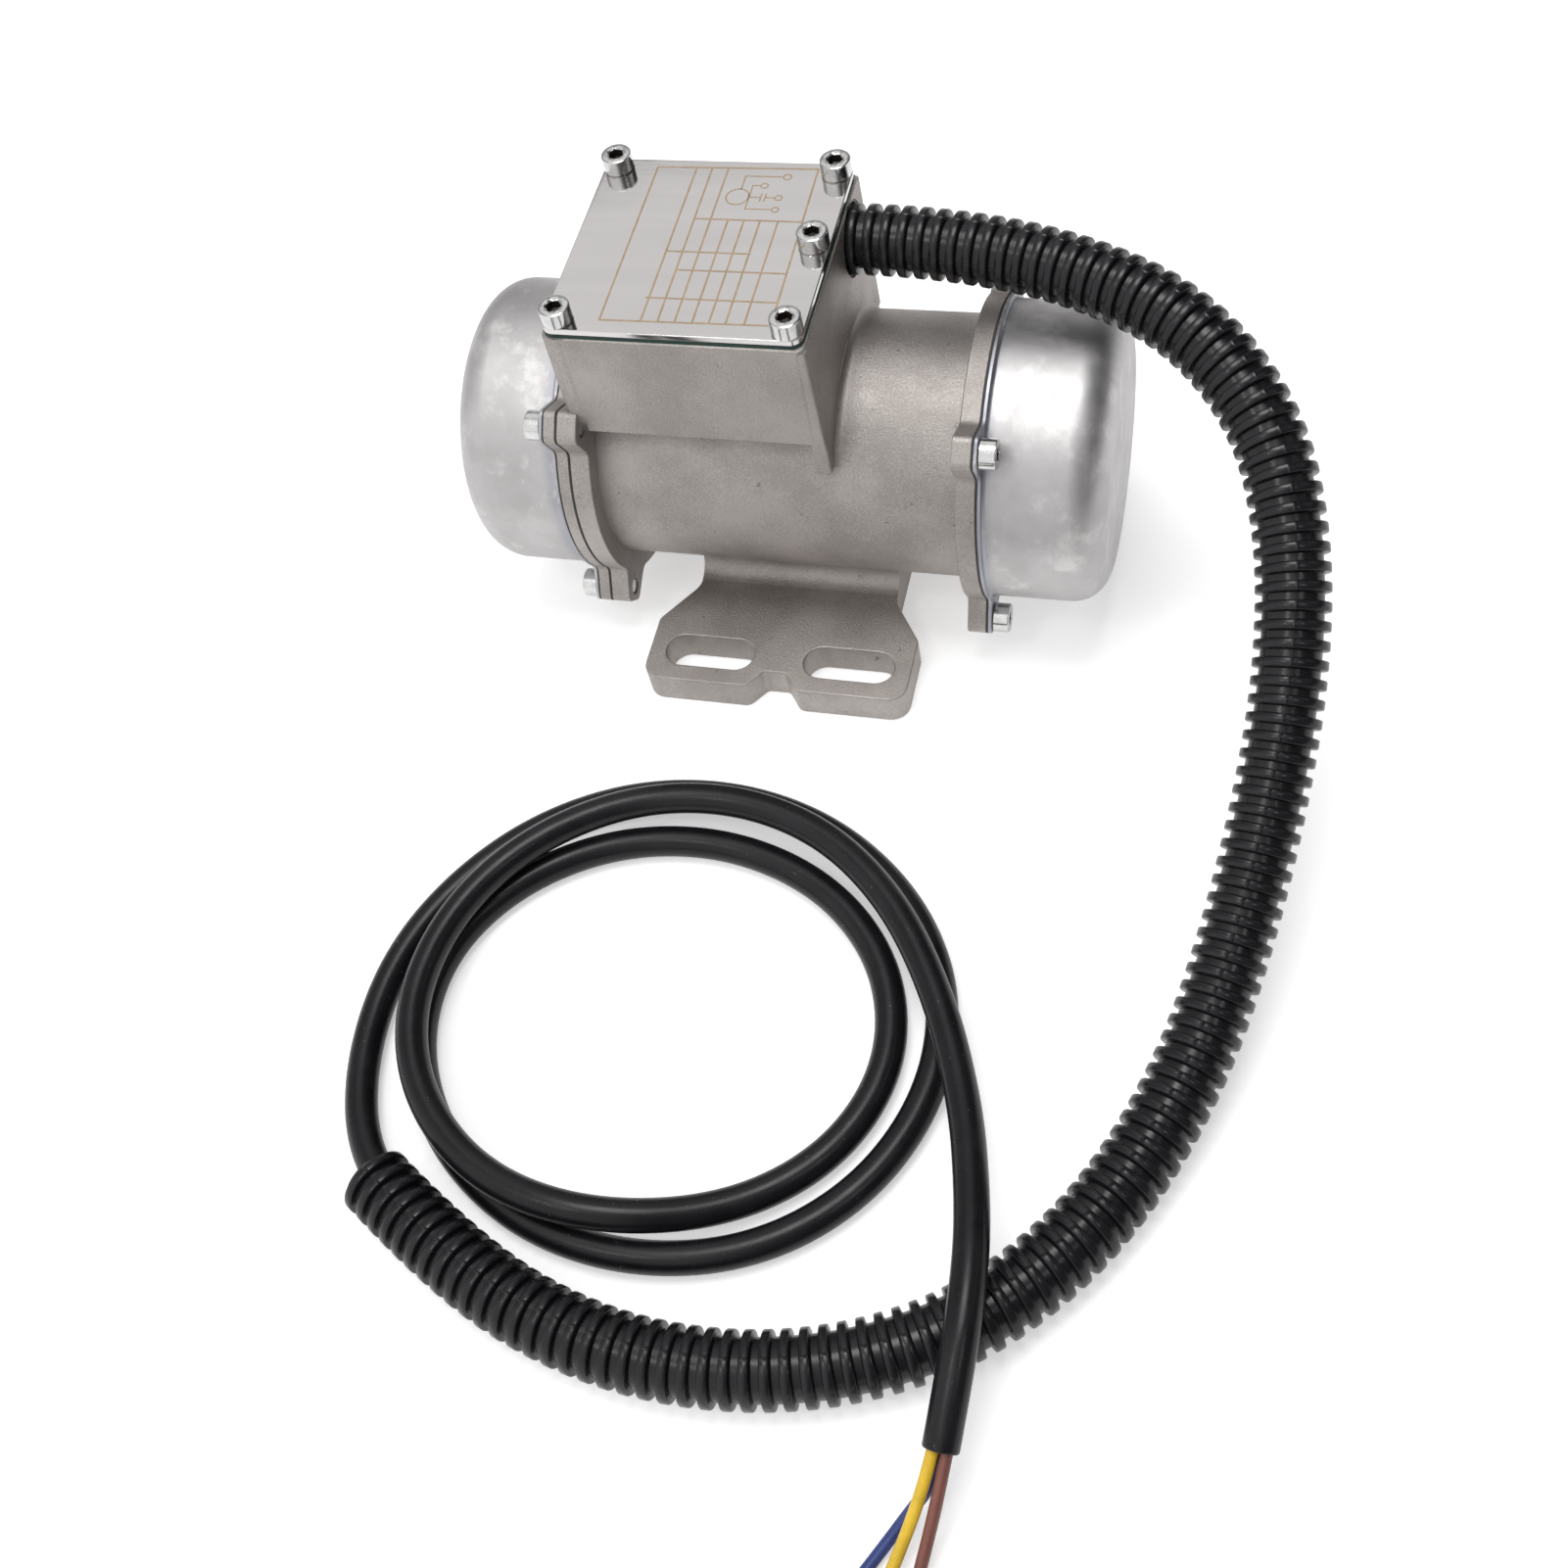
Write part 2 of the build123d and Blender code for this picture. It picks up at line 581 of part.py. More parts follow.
def stator_core():
    """Laminated stack with slots that open towards the rotor."""
    outline = Circle(STATOR_RADIUS) - Circle(STATOR_BORE)
    slot_length = SLOT_BOTTOM - SLOT_TOP
    slot = SlotOverall(slot_length, STATOR_SLOT_WIDTH)
    mouth = Rectangle(slot_length, SLOT_MOUTH)
    outline -= around(slot, STATOR_SLOTS, (SLOT_BOTTOM + SLOT_TOP) / 2)
    outline -= around(mouth, STATOR_SLOTS, SLOT_TOP - 1.0)
    return axial(outline, STACK_LEFT, STACK_RIGHT)


def stator_winding():
    """Coil heads at both ends of the stack, joined by the coil sides in the slots."""
    winding = Part()
    for start in (STACK_LEFT - COIL_HEAD, STACK_RIGHT):
        head = ring(COIL_OUTER, COIL_INNER, start, start + COIL_HEAD)
        winding += fillet(head.edges(), COIL_ROUND)
    sides = SlotOverall(SLOT_BOTTOM - SLOT_TOP - 0.2, STATOR_SLOT_WIDTH - 0.2)
    for side in around(sides, STATOR_SLOTS, (SLOT_BOTTOM + SLOT_TOP) / 2):
        winding += axial(side, STACK_LEFT - COIL_ROUND, STACK_RIGHT + COIL_ROUND)
    return winding


def groove_solid(middle):
    """Ring-shaped track of the balls, used to cut the raceways."""
    track = Plane.XZ * Pos(middle, BALL_CIRCLE) * Circle(GROOVE_RADIUS)
    return Pos(0, 0, SHAFT_HEIGHT) * revolve(track, Axis.X)


def bearing_ring(outer, inner, start):
    """One ring of a bearing with its raceway."""
    return ring(outer, inner, start, start + BEARING_WIDTH) - groove_solid(start + BEARING_WIDTH / 2)


def ball_places(middle):
    """Places of the balls of one bearing."""
    for i in range(BALL_COUNT):
        angle = 2 * math.pi * i / BALL_COUNT
        yield Pos(middle, BALL_CIRCLE * math.cos(angle), SHAFT_HEIGHT + BALL_CIRCLE * math.sin(angle))


def balls(start):
    """The balls of one bearing."""
    return Compound([place * Sphere(BALL_RADIUS) for place in ball_places(start + BEARING_WIDTH / 2)])


def ball_cage(start):
    """Ring with a pocket for each ball."""
    middle = start + BEARING_WIDTH / 2
    half = BALL_CAGE_HALF_WIDTH
    cage = ring(BALL_CAGE_OUTER, BALL_CAGE_INNER, middle - half, middle + half)
    for place in ball_places(middle):
        cage -= place * Sphere(BALL_POCKET_RADIUS)
    return cage


def rotor_shaft():
    """Stepped shaft with key seats and grooves for the retaining rings."""
    shaft = disc(SHAFT_END_RADIUS, SHAFT_LEFT, SHAFT_RIGHT)
    shaft = chamfer(shaft.edges(), SHAFT_CHAMFER)
    shaft += disc(SHAFT_BODY_RADIUS, BEARING_LEFT + BEARING_WIDTH, BEARING_RIGHT)
    for start in (RETAINER_LEFT, RETAINER_RIGHT):
        shaft -= ring(SHAFT_END_RADIUS + 1, RETAINER_INNER, start, start + RETAINER_THICKNESS)
    for start in (FIXED_WEIGHT_LEFT, FIXED_WEIGHT_RIGHT):
        shaft -= weight_key(start)
    return shaft


def rotor_core():
    """Laminated rotor with holes for the cage bars."""
    outline = Circle(ROTOR_RADIUS) - Circle(SHAFT_BODY_RADIUS)
    outline -= around(Circle(ROTOR_BAR_RADIUS), ROTOR_BARS, ROTOR_BAR_CIRCLE)
    return axial(outline, STACK_LEFT, STACK_RIGHT)


def rotor_cage():
    """Cast squirrel cage: bars through the core and a ring at each end."""
    cage = ring(ROTOR_RADIUS - 0.3, END_RING_INNER, STACK_LEFT - END_RING, STACK_LEFT)
    cage += ring(ROTOR_RADIUS - 0.3, END_RING_INNER, STACK_RIGHT, STACK_RIGHT + END_RING)
    for bar in around(Circle(ROTOR_BAR_RADIUS), ROTOR_BARS, ROTOR_BAR_CIRCLE):
        cage += axial(bar, STACK_LEFT, STACK_RIGHT)
    return cage


def weight_outline(bore):
    """Half disc with a hub round the bore, its heavy side down."""
    radius = WEIGHT_RADIUS
    rim = CenterArc((0, 0), radius, 180, 180)
    half = make_face([rim, Line((radius, 0), (-radius, 0))])
    half = fillet(half.vertices(), WEIGHT_CORNER)
    return half + Circle(WEIGHT_HUB_RADIUS) - Circle(bore)


def weight_key(start):
    """Square key between the shaft and a fixed weight."""
    outline = Pos(0, KEY_SEAT_RADIUS + KEY_HEIGHT / 2) * Rectangle(KEY_WIDTH, KEY_HEIGHT)
    return axial(outline, start, start + WEIGHT_THICKNESS)


def fixed_weight(start):
    """Weight that is keyed to the shaft."""
    weight = axial(weight_outline(SHAFT_END_RADIUS), start, start + WEIGHT_THICKNESS)
    return weight - weight_key(start)


def loose_weight(start):
    """Weight that is turned on the shaft to set the force, with a slit ear for its clamp screw."""
    ear = Pos(0, EAR_HEIGHT / 2) * RectangleRounded(2 * EAR_HALF_WIDTH, EAR_HEIGHT, 1.0)
    outline = weight_outline(0.1) + ear
    outline -= Circle(SHAFT_END_RADIUS + RUNNING_CLEARANCE)
    outline -= Pos(0, EAR_HEIGHT / 2 + 1) * Rectangle(CLAMP_SLIT, EAR_HEIGHT + 2)
    weight = axial(outline, start, start + WEIGHT_THICKNESS)
    middle = start + WEIGHT_THICKNESS / 2
    screw_line = Pos(middle, 0, SHAFT_HEIGHT + CLAMP_SCREW_HEIGHT) * Rot(90, 0, 0)
    weight -= screw_line * Cylinder(SCREW_HOLE_RADIUS, 4 * EAR_HALF_WIDTH)
    seat = Pos(0, 0, EAR_HALF_WIDTH) * extrude(Circle(HEAD_RADIUS + 0.2), amount=2 * HEAD_HEIGHT)
    return weight - screw_line * seat


def clamp_screw(start):
    """Cap screw across the ear of a turning weight."""
    place = Pos(start + WEIGHT_THICKNESS / 2, -EAR_HALF_WIDTH, SHAFT_HEIGHT + CLAMP_SCREW_HEIGHT)
    return place * Rot(90, 0, 0) * cap_screw(2 * EAR_HALF_WIDTH)


def retaining_ring(start):
    """Open spring ring in its groove."""
    outline = Circle(RETAINER_OUTER) - Circle(RETAINER_INNER)
    outline -= Pos(0, RETAINER_OUTER) * Rectangle(RETAINER_GAP, 2 * RETAINER_OUTER)
    return axial(outline, start, start + RETAINER_THICKNESS)


def run_capacitor():
    """Moulded capacitor that lies on the floor of the box."""
    case = extrude(Rectangle(CAPACITOR_LENGTH, CAPACITOR_WIDTH), amount=CAPACITOR_HEIGHT)
    case = fillet(case.edges(), CAPACITOR_ROUND)
    return Pos(CAPACITOR_CENTRE[0], CAPACITOR_CENTRE[1], BOX_FLOOR) * case


def terminal_block():
    """Stepped block with barrier ribs, a wire hole on each side and a screw well per pole."""
    length = POLE_COUNT * POLE_PITCH
    profile = make_face(Polyline(
        (BLOCK_FRONT, BOX_FLOOR),
        (BLOCK_FRONT + BLOCK_DEPTH, BOX_FLOOR),
        (BLOCK_FRONT + BLOCK_DEPTH, BOX_FLOOR + BLOCK_HEIGHT - BLOCK_STEP),
        (BLOCK_FRONT + 0.75 * BLOCK_DEPTH, BOX_FLOOR + BLOCK_HEIGHT),
        (BLOCK_FRONT + 0.25 * BLOCK_DEPTH, BOX_FLOOR + BLOCK_HEIGHT),
        (BLOCK_FRONT, BOX_FLOOR + BLOCK_HEIGHT - BLOCK_STEP),
        close=True,
    ))
    block = extrude(Plane.YZ.offset(BLOCK_LEFT) * profile, amount=length)
    for pole in range(POLE_COUNT):
        x = BLOCK_LEFT + (pole + 0.5) * POLE_PITCH
        wire = Rot(90, 0, 0) * Cylinder(WIRE_HOLE_RADIUS, BLOCK_DEPTH)
        block -= Pos(x, BLOCK_FRONT + BLOCK_DEPTH / 2, BOX_FLOOR + WIRE_HOLE_HEIGHT) * wire
        well = extrude(Circle(TERMINAL_SCREW_RADIUS + 0.1), amount=BLOCK_HEIGHT)
        block -= Pos(x, BLOCK_FRONT + BLOCK_DEPTH / 2, BOX_FLOOR + WIRE_HOLE_HEIGHT + 2) * well
    return block


def terminal_screws():
    """One slotted clamp screw for each pole."""
    screws = []
    for pole in range(POLE_COUNT):
        screw = extrude(Circle(TERMINAL_SCREW_RADIUS), amount=5.0)
        screw -= Pos(0, 0, 4.6) * Box(2 * TERMINAL_SCREW_RADIUS, 0.7, 1.2)
        x = BLOCK_LEFT + (pole + 0.5) * POLE_PITCH
        y = BLOCK_FRONT + BLOCK_DEPTH / 2
        screws.append(Pos(x, y, BOX_FLOOR + WIRE_HOLE_HEIGHT + 2) * screw)
    return Compound(screws)


def earth_screw():
    """Earth screw with its washer on the floor of the box."""
    washer = extrude(Circle(HEAD_RADIUS + 0.8), amount=0.8)
    return Pos(EARTH_X, EARTH_Y, BOX_FLOOR) * (washer + extrude(Circle(HEAD_RADIUS), amount=HEAD_HEIGHT))


def bend_radii(route):
    """Radius for each inner corner of a route, as large as its two runs allow."""
    radii = []
    for before, corner, after in zip(route, route[1:], route[2:]):
        arriving = Vector(corner) - Vector(before)
        leaving = Vector(after) - Vector(corner)
        turn = math.radians(arriving.get_angle(leaving))
        shorter = min(arriving.length, leaving.length)
        radii.append(ARC_SHARE * shorter / math.tan(turn / 2))
    return radii


def tube(name, route, radius, bore=0.0):
    """Round tube along a route of straight runs joined by tangent arcs."""
    radii = bend_radii(route)
    path = FilletPolyline(*route, radius=radii)
    section = Circle(radius) - Circle(bore) if bore else Circle(radius)
    start = Plane(origin=path @ 0, z_dir=path % 0)
    solid = sweep(start * section, path=path)
    expected = math.pi * (radius**2 - bore**2) * path.length
    print(f"{name}: length {path.length:.1f}, least radius {min(radii):.1f}, "
          f"volume {solid.volume:.0f} against {expected:.0f}")
    print("  radii", " ".join(f"{r:.0f}" for r in radii))
    return solid


def write(node, shape):
    """Write one node's solids."""
    export_step(shape, f"parts/{node}.step")


def build_root_body():
    """Everything that stays still with the housing."""
    write("motor_housing", motor_housing())
    write("end_shield_left", end_shield())
    write("housing_gasket_left", flat_gasket(BORE_RADIUS, SHIELD_INNER, HOUSING_GASKET))
    cover_opening = COVER_RADIUS - COVER_WALL
    write("cover_gasket_left", flat_gasket(cover_opening, COVER_FACE_LEFT, COVER_GASKET))
    write("cover_gasket_right", flat_gasket(cover_opening, HOUSING_RIGHT, COVER_GASKET))
    cover = end_cover()
    write("end_cover_right", Pos(COVER_FACE_RIGHT, 0, 0) * cover)
    write("end_cover_left", Pos(COVER_FACE_LEFT, 0, 0) * mirror(cover, about=Plane.YZ))
    seat_left = COVER_FACE_LEFT - COVER_FLANGE
    seat_right = COVER_FACE_RIGHT + COVER_FLANGE
    write("cover_screws_left", cover_screws(seat_left, LEFT_FLANGE_INNER - SCREW_RECESS))
    write("cover_screws_right", cover_screws(seat_right, RIGHT_FLANGE_INNER + SCREW_RECESS))
    write("terminal_box_lid", lid())
    write("lid_gasket", lid_gasket())
    screw = cap_screw(LID_SCREW_LENGTH)
    write("lid_screws", Compound([Pos(x, y, LID_TOP) * screw for x, y in LID_SCREW_PLACES]))
    write("conduit_bush", conduit_bush())
    write("stator_core", stator_core())
    write("stator_winding", stator_winding())


def build_bearings():
    """Both bearings, each as two rings, its balls and their cage."""
    for side, start in (("left", BEARING_LEFT), ("right", BEARING_RIGHT)):
        write(f"bearing_outer_{side}", bearing_ring(BEARING_OUTSIDE, OUTER_RING_LAND, start))
        write(f"bearing_inner_{side}", bearing_ring(INNER_RING_LAND, BEARING_BORE, start))
        write(f"bearing_balls_{side}", balls(start))
        write(f"bearing_cage_{side}", ball_cage(start))


def build_rotor():
    """Shaft, rotor, weights and what holds them."""
    write("rotor_shaft", rotor_shaft())
    write("rotor_core", rotor_core())
    write("rotor_cage", rotor_cage())
    write("fixed_weight_left", fixed_weight(FIXED_WEIGHT_LEFT))
    write("fixed_weight_right", fixed_weight(FIXED_WEIGHT_RIGHT))
    keys = [weight_key(start) for start in (FIXED_WEIGHT_LEFT, FIXED_WEIGHT_RIGHT)]
    write("weight_keys", Compound(keys))
    spans = (
        (FIXED_WEIGHT_LEFT + WEIGHT_THICKNESS, BEARING_LEFT),
        (BEARING_RIGHT + BEARING_WIDTH, FIXED_WEIGHT_RIGHT),
    )
    write("shaft_spacers", Compound([ring(SPACER_RADIUS, SHAFT_END_RADIUS, *span) for span in spans]))
    rings = [retaining_ring(start) for start in (RETAINER_LEFT, RETAINER_RIGHT)]
    write("retaining_rings", Compound(rings))
    for side, start in (("left", LOOSE_WEIGHT_LEFT), ("right", LOOSE_WEIGHT_RIGHT)):
        write(f"adjustable_weight_{side}", loose_weight(start))
        write(f"clamp_screw_{side}", clamp_screw(start))


def build_terminal_box_parts():
    """Capacitor, terminal block, earth screw and the leads between them."""
    write("run_capacitor", run_capacitor())
    write("terminal_block", terminal_block())
    write("terminal_screws", terminal_screws())
    write("earth_screw", earth_screw())
    entry_y = BLOCK_FRONT + BLOCK_DEPTH
    entry_z = BOX_FLOOR + WIRE_HOLE_HEIGHT
    poles = [BLOCK_LEFT + (i + 0.5) * POLE_PITCH for i in range(POLE_COUNT)]
    leads = {
        "supply_lead_blue": (0.0, 1.8, poles[3]),
        "supply_lead_brown": (1.6, -1.0, poles[2]),
    }
    for name, (dy, dz, pole) in leads.items():
        route = [
            (CABLE_START, EXIT_Y + dy, EXIT_Z + dz),
            (6.0, EXIT_Y + dy, EXIT_Z + dz),
            (0.0, 19.5 + dy, 84.0 + dz),
            (pole + 3.0, 20.5, 79.0),
            (pole, entry_y + 4.0, entry_z),
            (pole, entry_y - 4.0, entry_z),
        ]
        write(name, tube(name, route, LEAD_RADIUS))
    route = [
        (CABLE_START, EXIT_Y - 1.6, EXIT_Z - 1.0),
        (5.0, EXIT_Y - 1.6, EXIT_Z - 1.0),
        (-6.0, 14.0, 88.5),
        (-22.0, 15.5, 88.0),
        (-31.0, 16.5, 82.0),
        (EARTH_X + 2.0, 15.5, BOX_FLOOR + HEAD_HEIGHT + LEAD_RADIUS + 0.2),
    ]
    write("supply_lead_yellow", tube("supply_lead_yellow", route, LEAD_RADIUS))
    winding_leads = []
    for i, offset in enumerate((-2.2, 0.0, 2.2)):
        y = LEAD_HOLE_Y + offset
        route = [
            (STACK_LEFT - COIL_HEAD, y, SHAFT_HEIGHT + COIL_OUTER - 4.0),
            (LEAD_HOLE_X, y, SHAFT_HEIGHT + COIL_OUTER - 4.0),
            (LEAD_HOLE_X, y - 0.3, BOX_FLOOR + 2.0),
            (poles[i] - 2.5, -2.2, entry_z + 2.5 - i * 0.4),
            (poles[i], -1.8, entry_z),
            (poles[i], BLOCK_FRONT + 3.0, entry_z),
        ]
        winding_leads.append(tube(f"winding_lead_{i}", route, 0.9))
    write("winding_leads", Compound(winding_leads))


def build_cords():
    """Conduit, cable and the three cores at its free end."""
    write("conduit", tube("conduit", CONDUIT_ROUTE, CONDUIT_RADIUS, CONDUIT_BORE))
    cable_route = [(CABLE_START, EXIT_Y, EXIT_Z)] + CONDUIT_ROUTE[1:-1] + CABLE_LOOPS
    write("cable", tube("cable", cable_route, CABLE_RADIUS))
    conductors = []
    for name, route in CORE_ROUTES.items():
        write(name, tube(name, route, CORE_RADIUS))
        end = Vector(route[-1])
        direction = (end - Vector(route[-2])).normalized()
        section = Plane(origin=end, z_dir=direction) * Circle(STRAND_RADIUS)
        conductors.append(extrude(section, amount=STRIPPED_LENGTH))
    write("core_conductors", Compound(conductors))


build_root_body()
build_bearings()
build_rotor()
build_terminal_box_parts()
build_cords()
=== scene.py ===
"""Looks of a small vibration motor: studio, cords, blasted casting, drawn covers, etched lid and screws.

Sizes in the classes are in millimetres and become metres when a surface is made into an object. The
frame's X runs along the shaft, its foot stands on Z = 0, and the front of the foot faces -Y.
"""
from __future__ import annotations

import json
import logging
import math
from dataclasses import dataclass, field
from enum import Enum
from typing import Sequence

import bmesh
import bpy
import numpy as np
from mathutils import Matrix, Vector

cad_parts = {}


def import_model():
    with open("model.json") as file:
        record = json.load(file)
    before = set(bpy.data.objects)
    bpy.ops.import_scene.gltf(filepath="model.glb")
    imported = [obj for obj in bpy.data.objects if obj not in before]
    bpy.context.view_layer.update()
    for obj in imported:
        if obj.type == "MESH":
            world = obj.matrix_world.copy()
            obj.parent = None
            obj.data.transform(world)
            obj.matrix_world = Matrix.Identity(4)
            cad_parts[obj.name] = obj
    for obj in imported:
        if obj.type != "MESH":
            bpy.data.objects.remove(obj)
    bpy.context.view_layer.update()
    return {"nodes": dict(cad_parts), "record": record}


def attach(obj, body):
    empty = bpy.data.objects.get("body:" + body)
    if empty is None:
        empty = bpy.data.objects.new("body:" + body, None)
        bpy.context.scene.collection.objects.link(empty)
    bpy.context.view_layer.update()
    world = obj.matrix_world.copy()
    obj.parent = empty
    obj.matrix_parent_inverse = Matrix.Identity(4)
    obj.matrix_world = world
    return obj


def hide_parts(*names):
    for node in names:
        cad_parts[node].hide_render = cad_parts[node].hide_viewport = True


logging.basicConfig(level=logging.INFO, format="%(message)s")
LOG = logging.getLogger("vibration_motor")

MM = 0.001

SHAFT_HEIGHT = 41.0
SCREW_HOLE = 2.05
LUG_CIRCLE = 40.0
LUG_ANGLES = np.radians([45, 135, 225, 315])

# Middle of the bush: its Y and its height above the shaft
BUSH_PLACE = (16.4, 47.0)

# X and Y of the lid's screws, and how far each socket is turned
LID_SCREWS = [
    (-39.6, -24.8, 0.2), (-39.6, 24.8, 0.9), (11.8, -24.8, 0.5), (11.8, 24.8, 0.1), (11.75, 1.44, 0.75),
]

# A noise texture's values lie mostly between these
NOISE_LOW = 0.3
NOISE_HIGH = 0.7

# Routes of the cords, in metres, the same points as the solid tubes follow
CONDUIT_ROUTE = [
    (0.0148, 0.0164, 0.0880), (0.0350, 0.0164, 0.0880), (0.0660, 0.0106, 0.0875),
    (0.0920, -0.0012, 0.0850), (0.1106, -0.0195, 0.0755), (0.1186, -0.0410, 0.0620),
    (0.1208, -0.0640, 0.0464), (0.1192, -0.0875, 0.0321), (0.1158, -0.1115, 0.0205),
    (0.1106, -0.1355, 0.0120), (0.1018, -0.1590, 0.0079), (0.0895, -0.1805, 0.0079),
    (0.0724, -0.1980, 0.0079), (0.0506, -0.2095, 0.0079), (0.0255, -0.2150, 0.0079),
    (-0.0015, -0.2140, 0.0079), (-0.0310, -0.2043, 0.0079), (-0.0564, -0.1885, 0.0079),
]
CABLE_LOOPS = [
    (-0.0505, -0.1922, 0.0074), (-0.0640, -0.1790, 0.0052), (-0.0714, -0.1575, 0.0036),
    (-0.0713, -0.1345, 0.0036), (-0.0625, -0.1130, 0.0036), (-0.0470, -0.0950, 0.0036),
    (-0.0255, -0.0835, 0.0036), (-0.0005, -0.0810, 0.0036), (0.0240, -0.0880, 0.0036),
    (0.0445, -0.1040, 0.0036), (0.0565, -0.1255, 0.0036), (0.0575, -0.1495, 0.0036),
    (0.0475, -0.1725, 0.0036), (0.0280, -0.1890, 0.0036), (0.0020, -0.1953, 0.0036),
    (-0.0245, -0.1910, 0.0036), (-0.0470, -0.1760, 0.0036), (-0.0600, -0.1550, 0.0036),
    (-0.0610, -0.1315, 0.0036), (-0.0490, -0.1110, 0.0036), (-0.0270, -0.0970, 0.0036),
    (-0.0005, -0.0940, 0.0036), (0.0250, -0.1025, 0.0036), (0.0425, -0.1205, 0.0036),
    (0.0480, -0.1435, 0.0036), (0.0400, -0.1655, 0.0036), (0.0210, -0.1815, 0.0046),
    (-0.0050, -0.1900, 0.0109), (-0.0310, -0.1860, 0.0109), (-0.0510, -0.1710, 0.0109),
    (-0.0610, -0.1495, 0.0109), (-0.0590, -0.1255, 0.0109), (-0.0465, -0.1045, 0.0109),
    (-0.0255, -0.0900, 0.0109), (-0.0015, -0.0860, 0.0109), (0.0220, -0.0920, 0.0109),
    (0.0415, -0.1075, 0.0109), (0.0560, -0.1295, 0.0109), (0.0660, -0.1535, 0.0126),
    (0.0712, -0.1735, 0.0182), (0.0738, -0.1885, 0.0212), (0.0744, -0.2055, 0.0206),
    (0.0734, -0.2220, 0.0138),
]
CORE_ROUTES = {
    "core_yellow": [
        (0.0721, -0.2224, 0.0146), (0.0712, -0.2288, 0.0117), (0.0692, -0.2360, 0.0070),
        (0.0668, -0.2440, 0.0030), (0.06400, -0.25250, 0.00125), (0.06100, -0.26050, 0.00125),
    ],
    "core_brown": [
        (0.0747, -0.2224, 0.0144), (0.0742, -0.2288, 0.0115), (0.0732, -0.2360, 0.0068),
        (0.0720, -0.2440, 0.0029), (0.07060, -0.25260, 0.00125), (0.06900, -0.26100, 0.00125),
    ],
    "core_blue": [
        (0.0734, -0.2216, 0.0122), (0.0727, -0.2268, 0.0094), (0.0690, -0.2318, 0.0052),
        (0.0648, -0.2386, 0.0022), (0.06060, -0.24600, 0.00125), (0.05650, -0.25350, 0.00125),
    ],
}
CABLE_START = (0.0116, 0.0164, 0.0880)


class Axis(Enum):
    """Direction in which a flat outline is drawn out."""

    ALONG_SHAFT = "x"
    UPRIGHT = "z"


class Side(Enum):
    """End of the motor, with the sign of its X direction."""

    LEFT = -1
    RIGHT = 1

    @property
    def label(self) -> str:
        """Word used in the names of this end's nodes."""
        return self.name.lower()


class CoreColour(Enum):
    """Insulation colours of the cable's cores."""

    YELLOW = (0.86, 0.56, 0.035)
    BROWN = (0.235, 0.085, 0.065)
    BLUE = (0.035, 0.060, 0.235)


@dataclass
class Shell:
    """Closed surface as arrays: points in millimetres and faces as lists of point numbers."""

    points: np.ndarray
    faces: list

    @staticmethod
    def joined(shells: Sequence["Shell"]) -> "Shell":
        """Several shells as one.

        Args:
            shells: The shells to put together, none of which is changed.

        Returns:
            One shell with all their points and faces.
        """
        starts = np.cumsum([0] + [len(s.points) for s in shells[:-1]])
        points = np.concatenate([s.points for s in shells])
        faces = [
            [int(i) + int(start) for i in face]
            for shell, start in zip(shells, starts) for face in shell.faces
        ]
        return Shell(points, faces)

    def moved(self, matrix: Matrix) -> "Shell":
        """The shell carried by a matrix.

        Args:
            matrix: Turn and shift, in millimetres.

        Returns:
            A new shell.
        """
        m = np.array(matrix)
        return Shell(self.points @ m[:3, :3].T + m[:3, 3], self.faces)

    def build(self, name: str, crease: float = 38.0, weighted: bool = True) -> bpy.types.Object:
        """The shell as an object with smooth faces and sharp creases.

        Args:
            name: Name of the object.
            crease: Angle in degrees from which an edge stays sharp.
            weighted: Whether broad faces pull the shading of the narrow ones beside them.

        Returns:
            The object, linked into the scene.
        """
        mesh = bpy.data.meshes.new(name)
        mesh.from_pydata((self.points * MM).tolist(), [], self.faces)
        mesh.validate()
        return finished(name, mesh, crease, weighted)


def linked(name: str, data: bpy.types.ID) -> bpy.types.Object:
    """A new object in the scene that holds the data."""
    made = bpy.data.objects.new(name, data)
    bpy.context.scene.collection.objects.link(made)
    return made


def final_mesh(piece: bpy.types.Object) -> bpy.types.Mesh:
    """A new mesh of an object as it looks once its modifiers or curve settings are worked out."""
    graph = bpy.context.evaluated_depsgraph_get()
    return bpy.data.meshes.new_from_object(piece.evaluated_get(graph))


def full_turn(count: int) -> np.ndarray:
    """Angles in radians spaced evenly round a circle, none of them twice."""
    return np.linspace(0, 2 * np.pi, count, endpoint=False)


def finished(name: str, mesh: bpy.types.Mesh, crease: float, weighted: bool) -> bpy.types.Object:
    """A mesh as an object whose shading is smooth up to the crease angle.

    Args:
        name: Name of the object.
        mesh: Mesh in metres, already in place.
        crease: Angle in degrees from which an edge stays sharp.
        weighted: Whether face area weighs the normals.

    Returns:
        The object.
    """
    mesh.shade_smooth()
    mesh.set_sharp_from_angle(angle=math.radians(crease))
    piece = linked(name, mesh)
    if weighted:
        modifier = piece.modifiers.new("even_normals", "WEIGHTED_NORMAL")
        modifier.keep_sharp = True
        modifier.weight = 80
        smooth = final_mesh(piece)
        piece.modifiers.clear()
        piece.data = smooth
        smooth.name = name
        bpy.data.meshes.remove(mesh)
    return piece


def enclosed(points: np.ndarray, triangles: np.ndarray) -> float:
    """Volume inside a closed surface, negative where its faces look inwards.

    It is a sixth of the sum, over the triangles, of a . (b x c), measured from the points' middle.

    Args:
        points: Points of the surface.
        triangles: Three point numbers for each triangle.

    Returns:
        The signed volume.
    """
    a, b, c = (points[triangles[:, i]] - points.mean(0) for i in range(3))
    return float(np.einsum("ij,ij->i", a, np.cross(b, c)).sum() / 6)


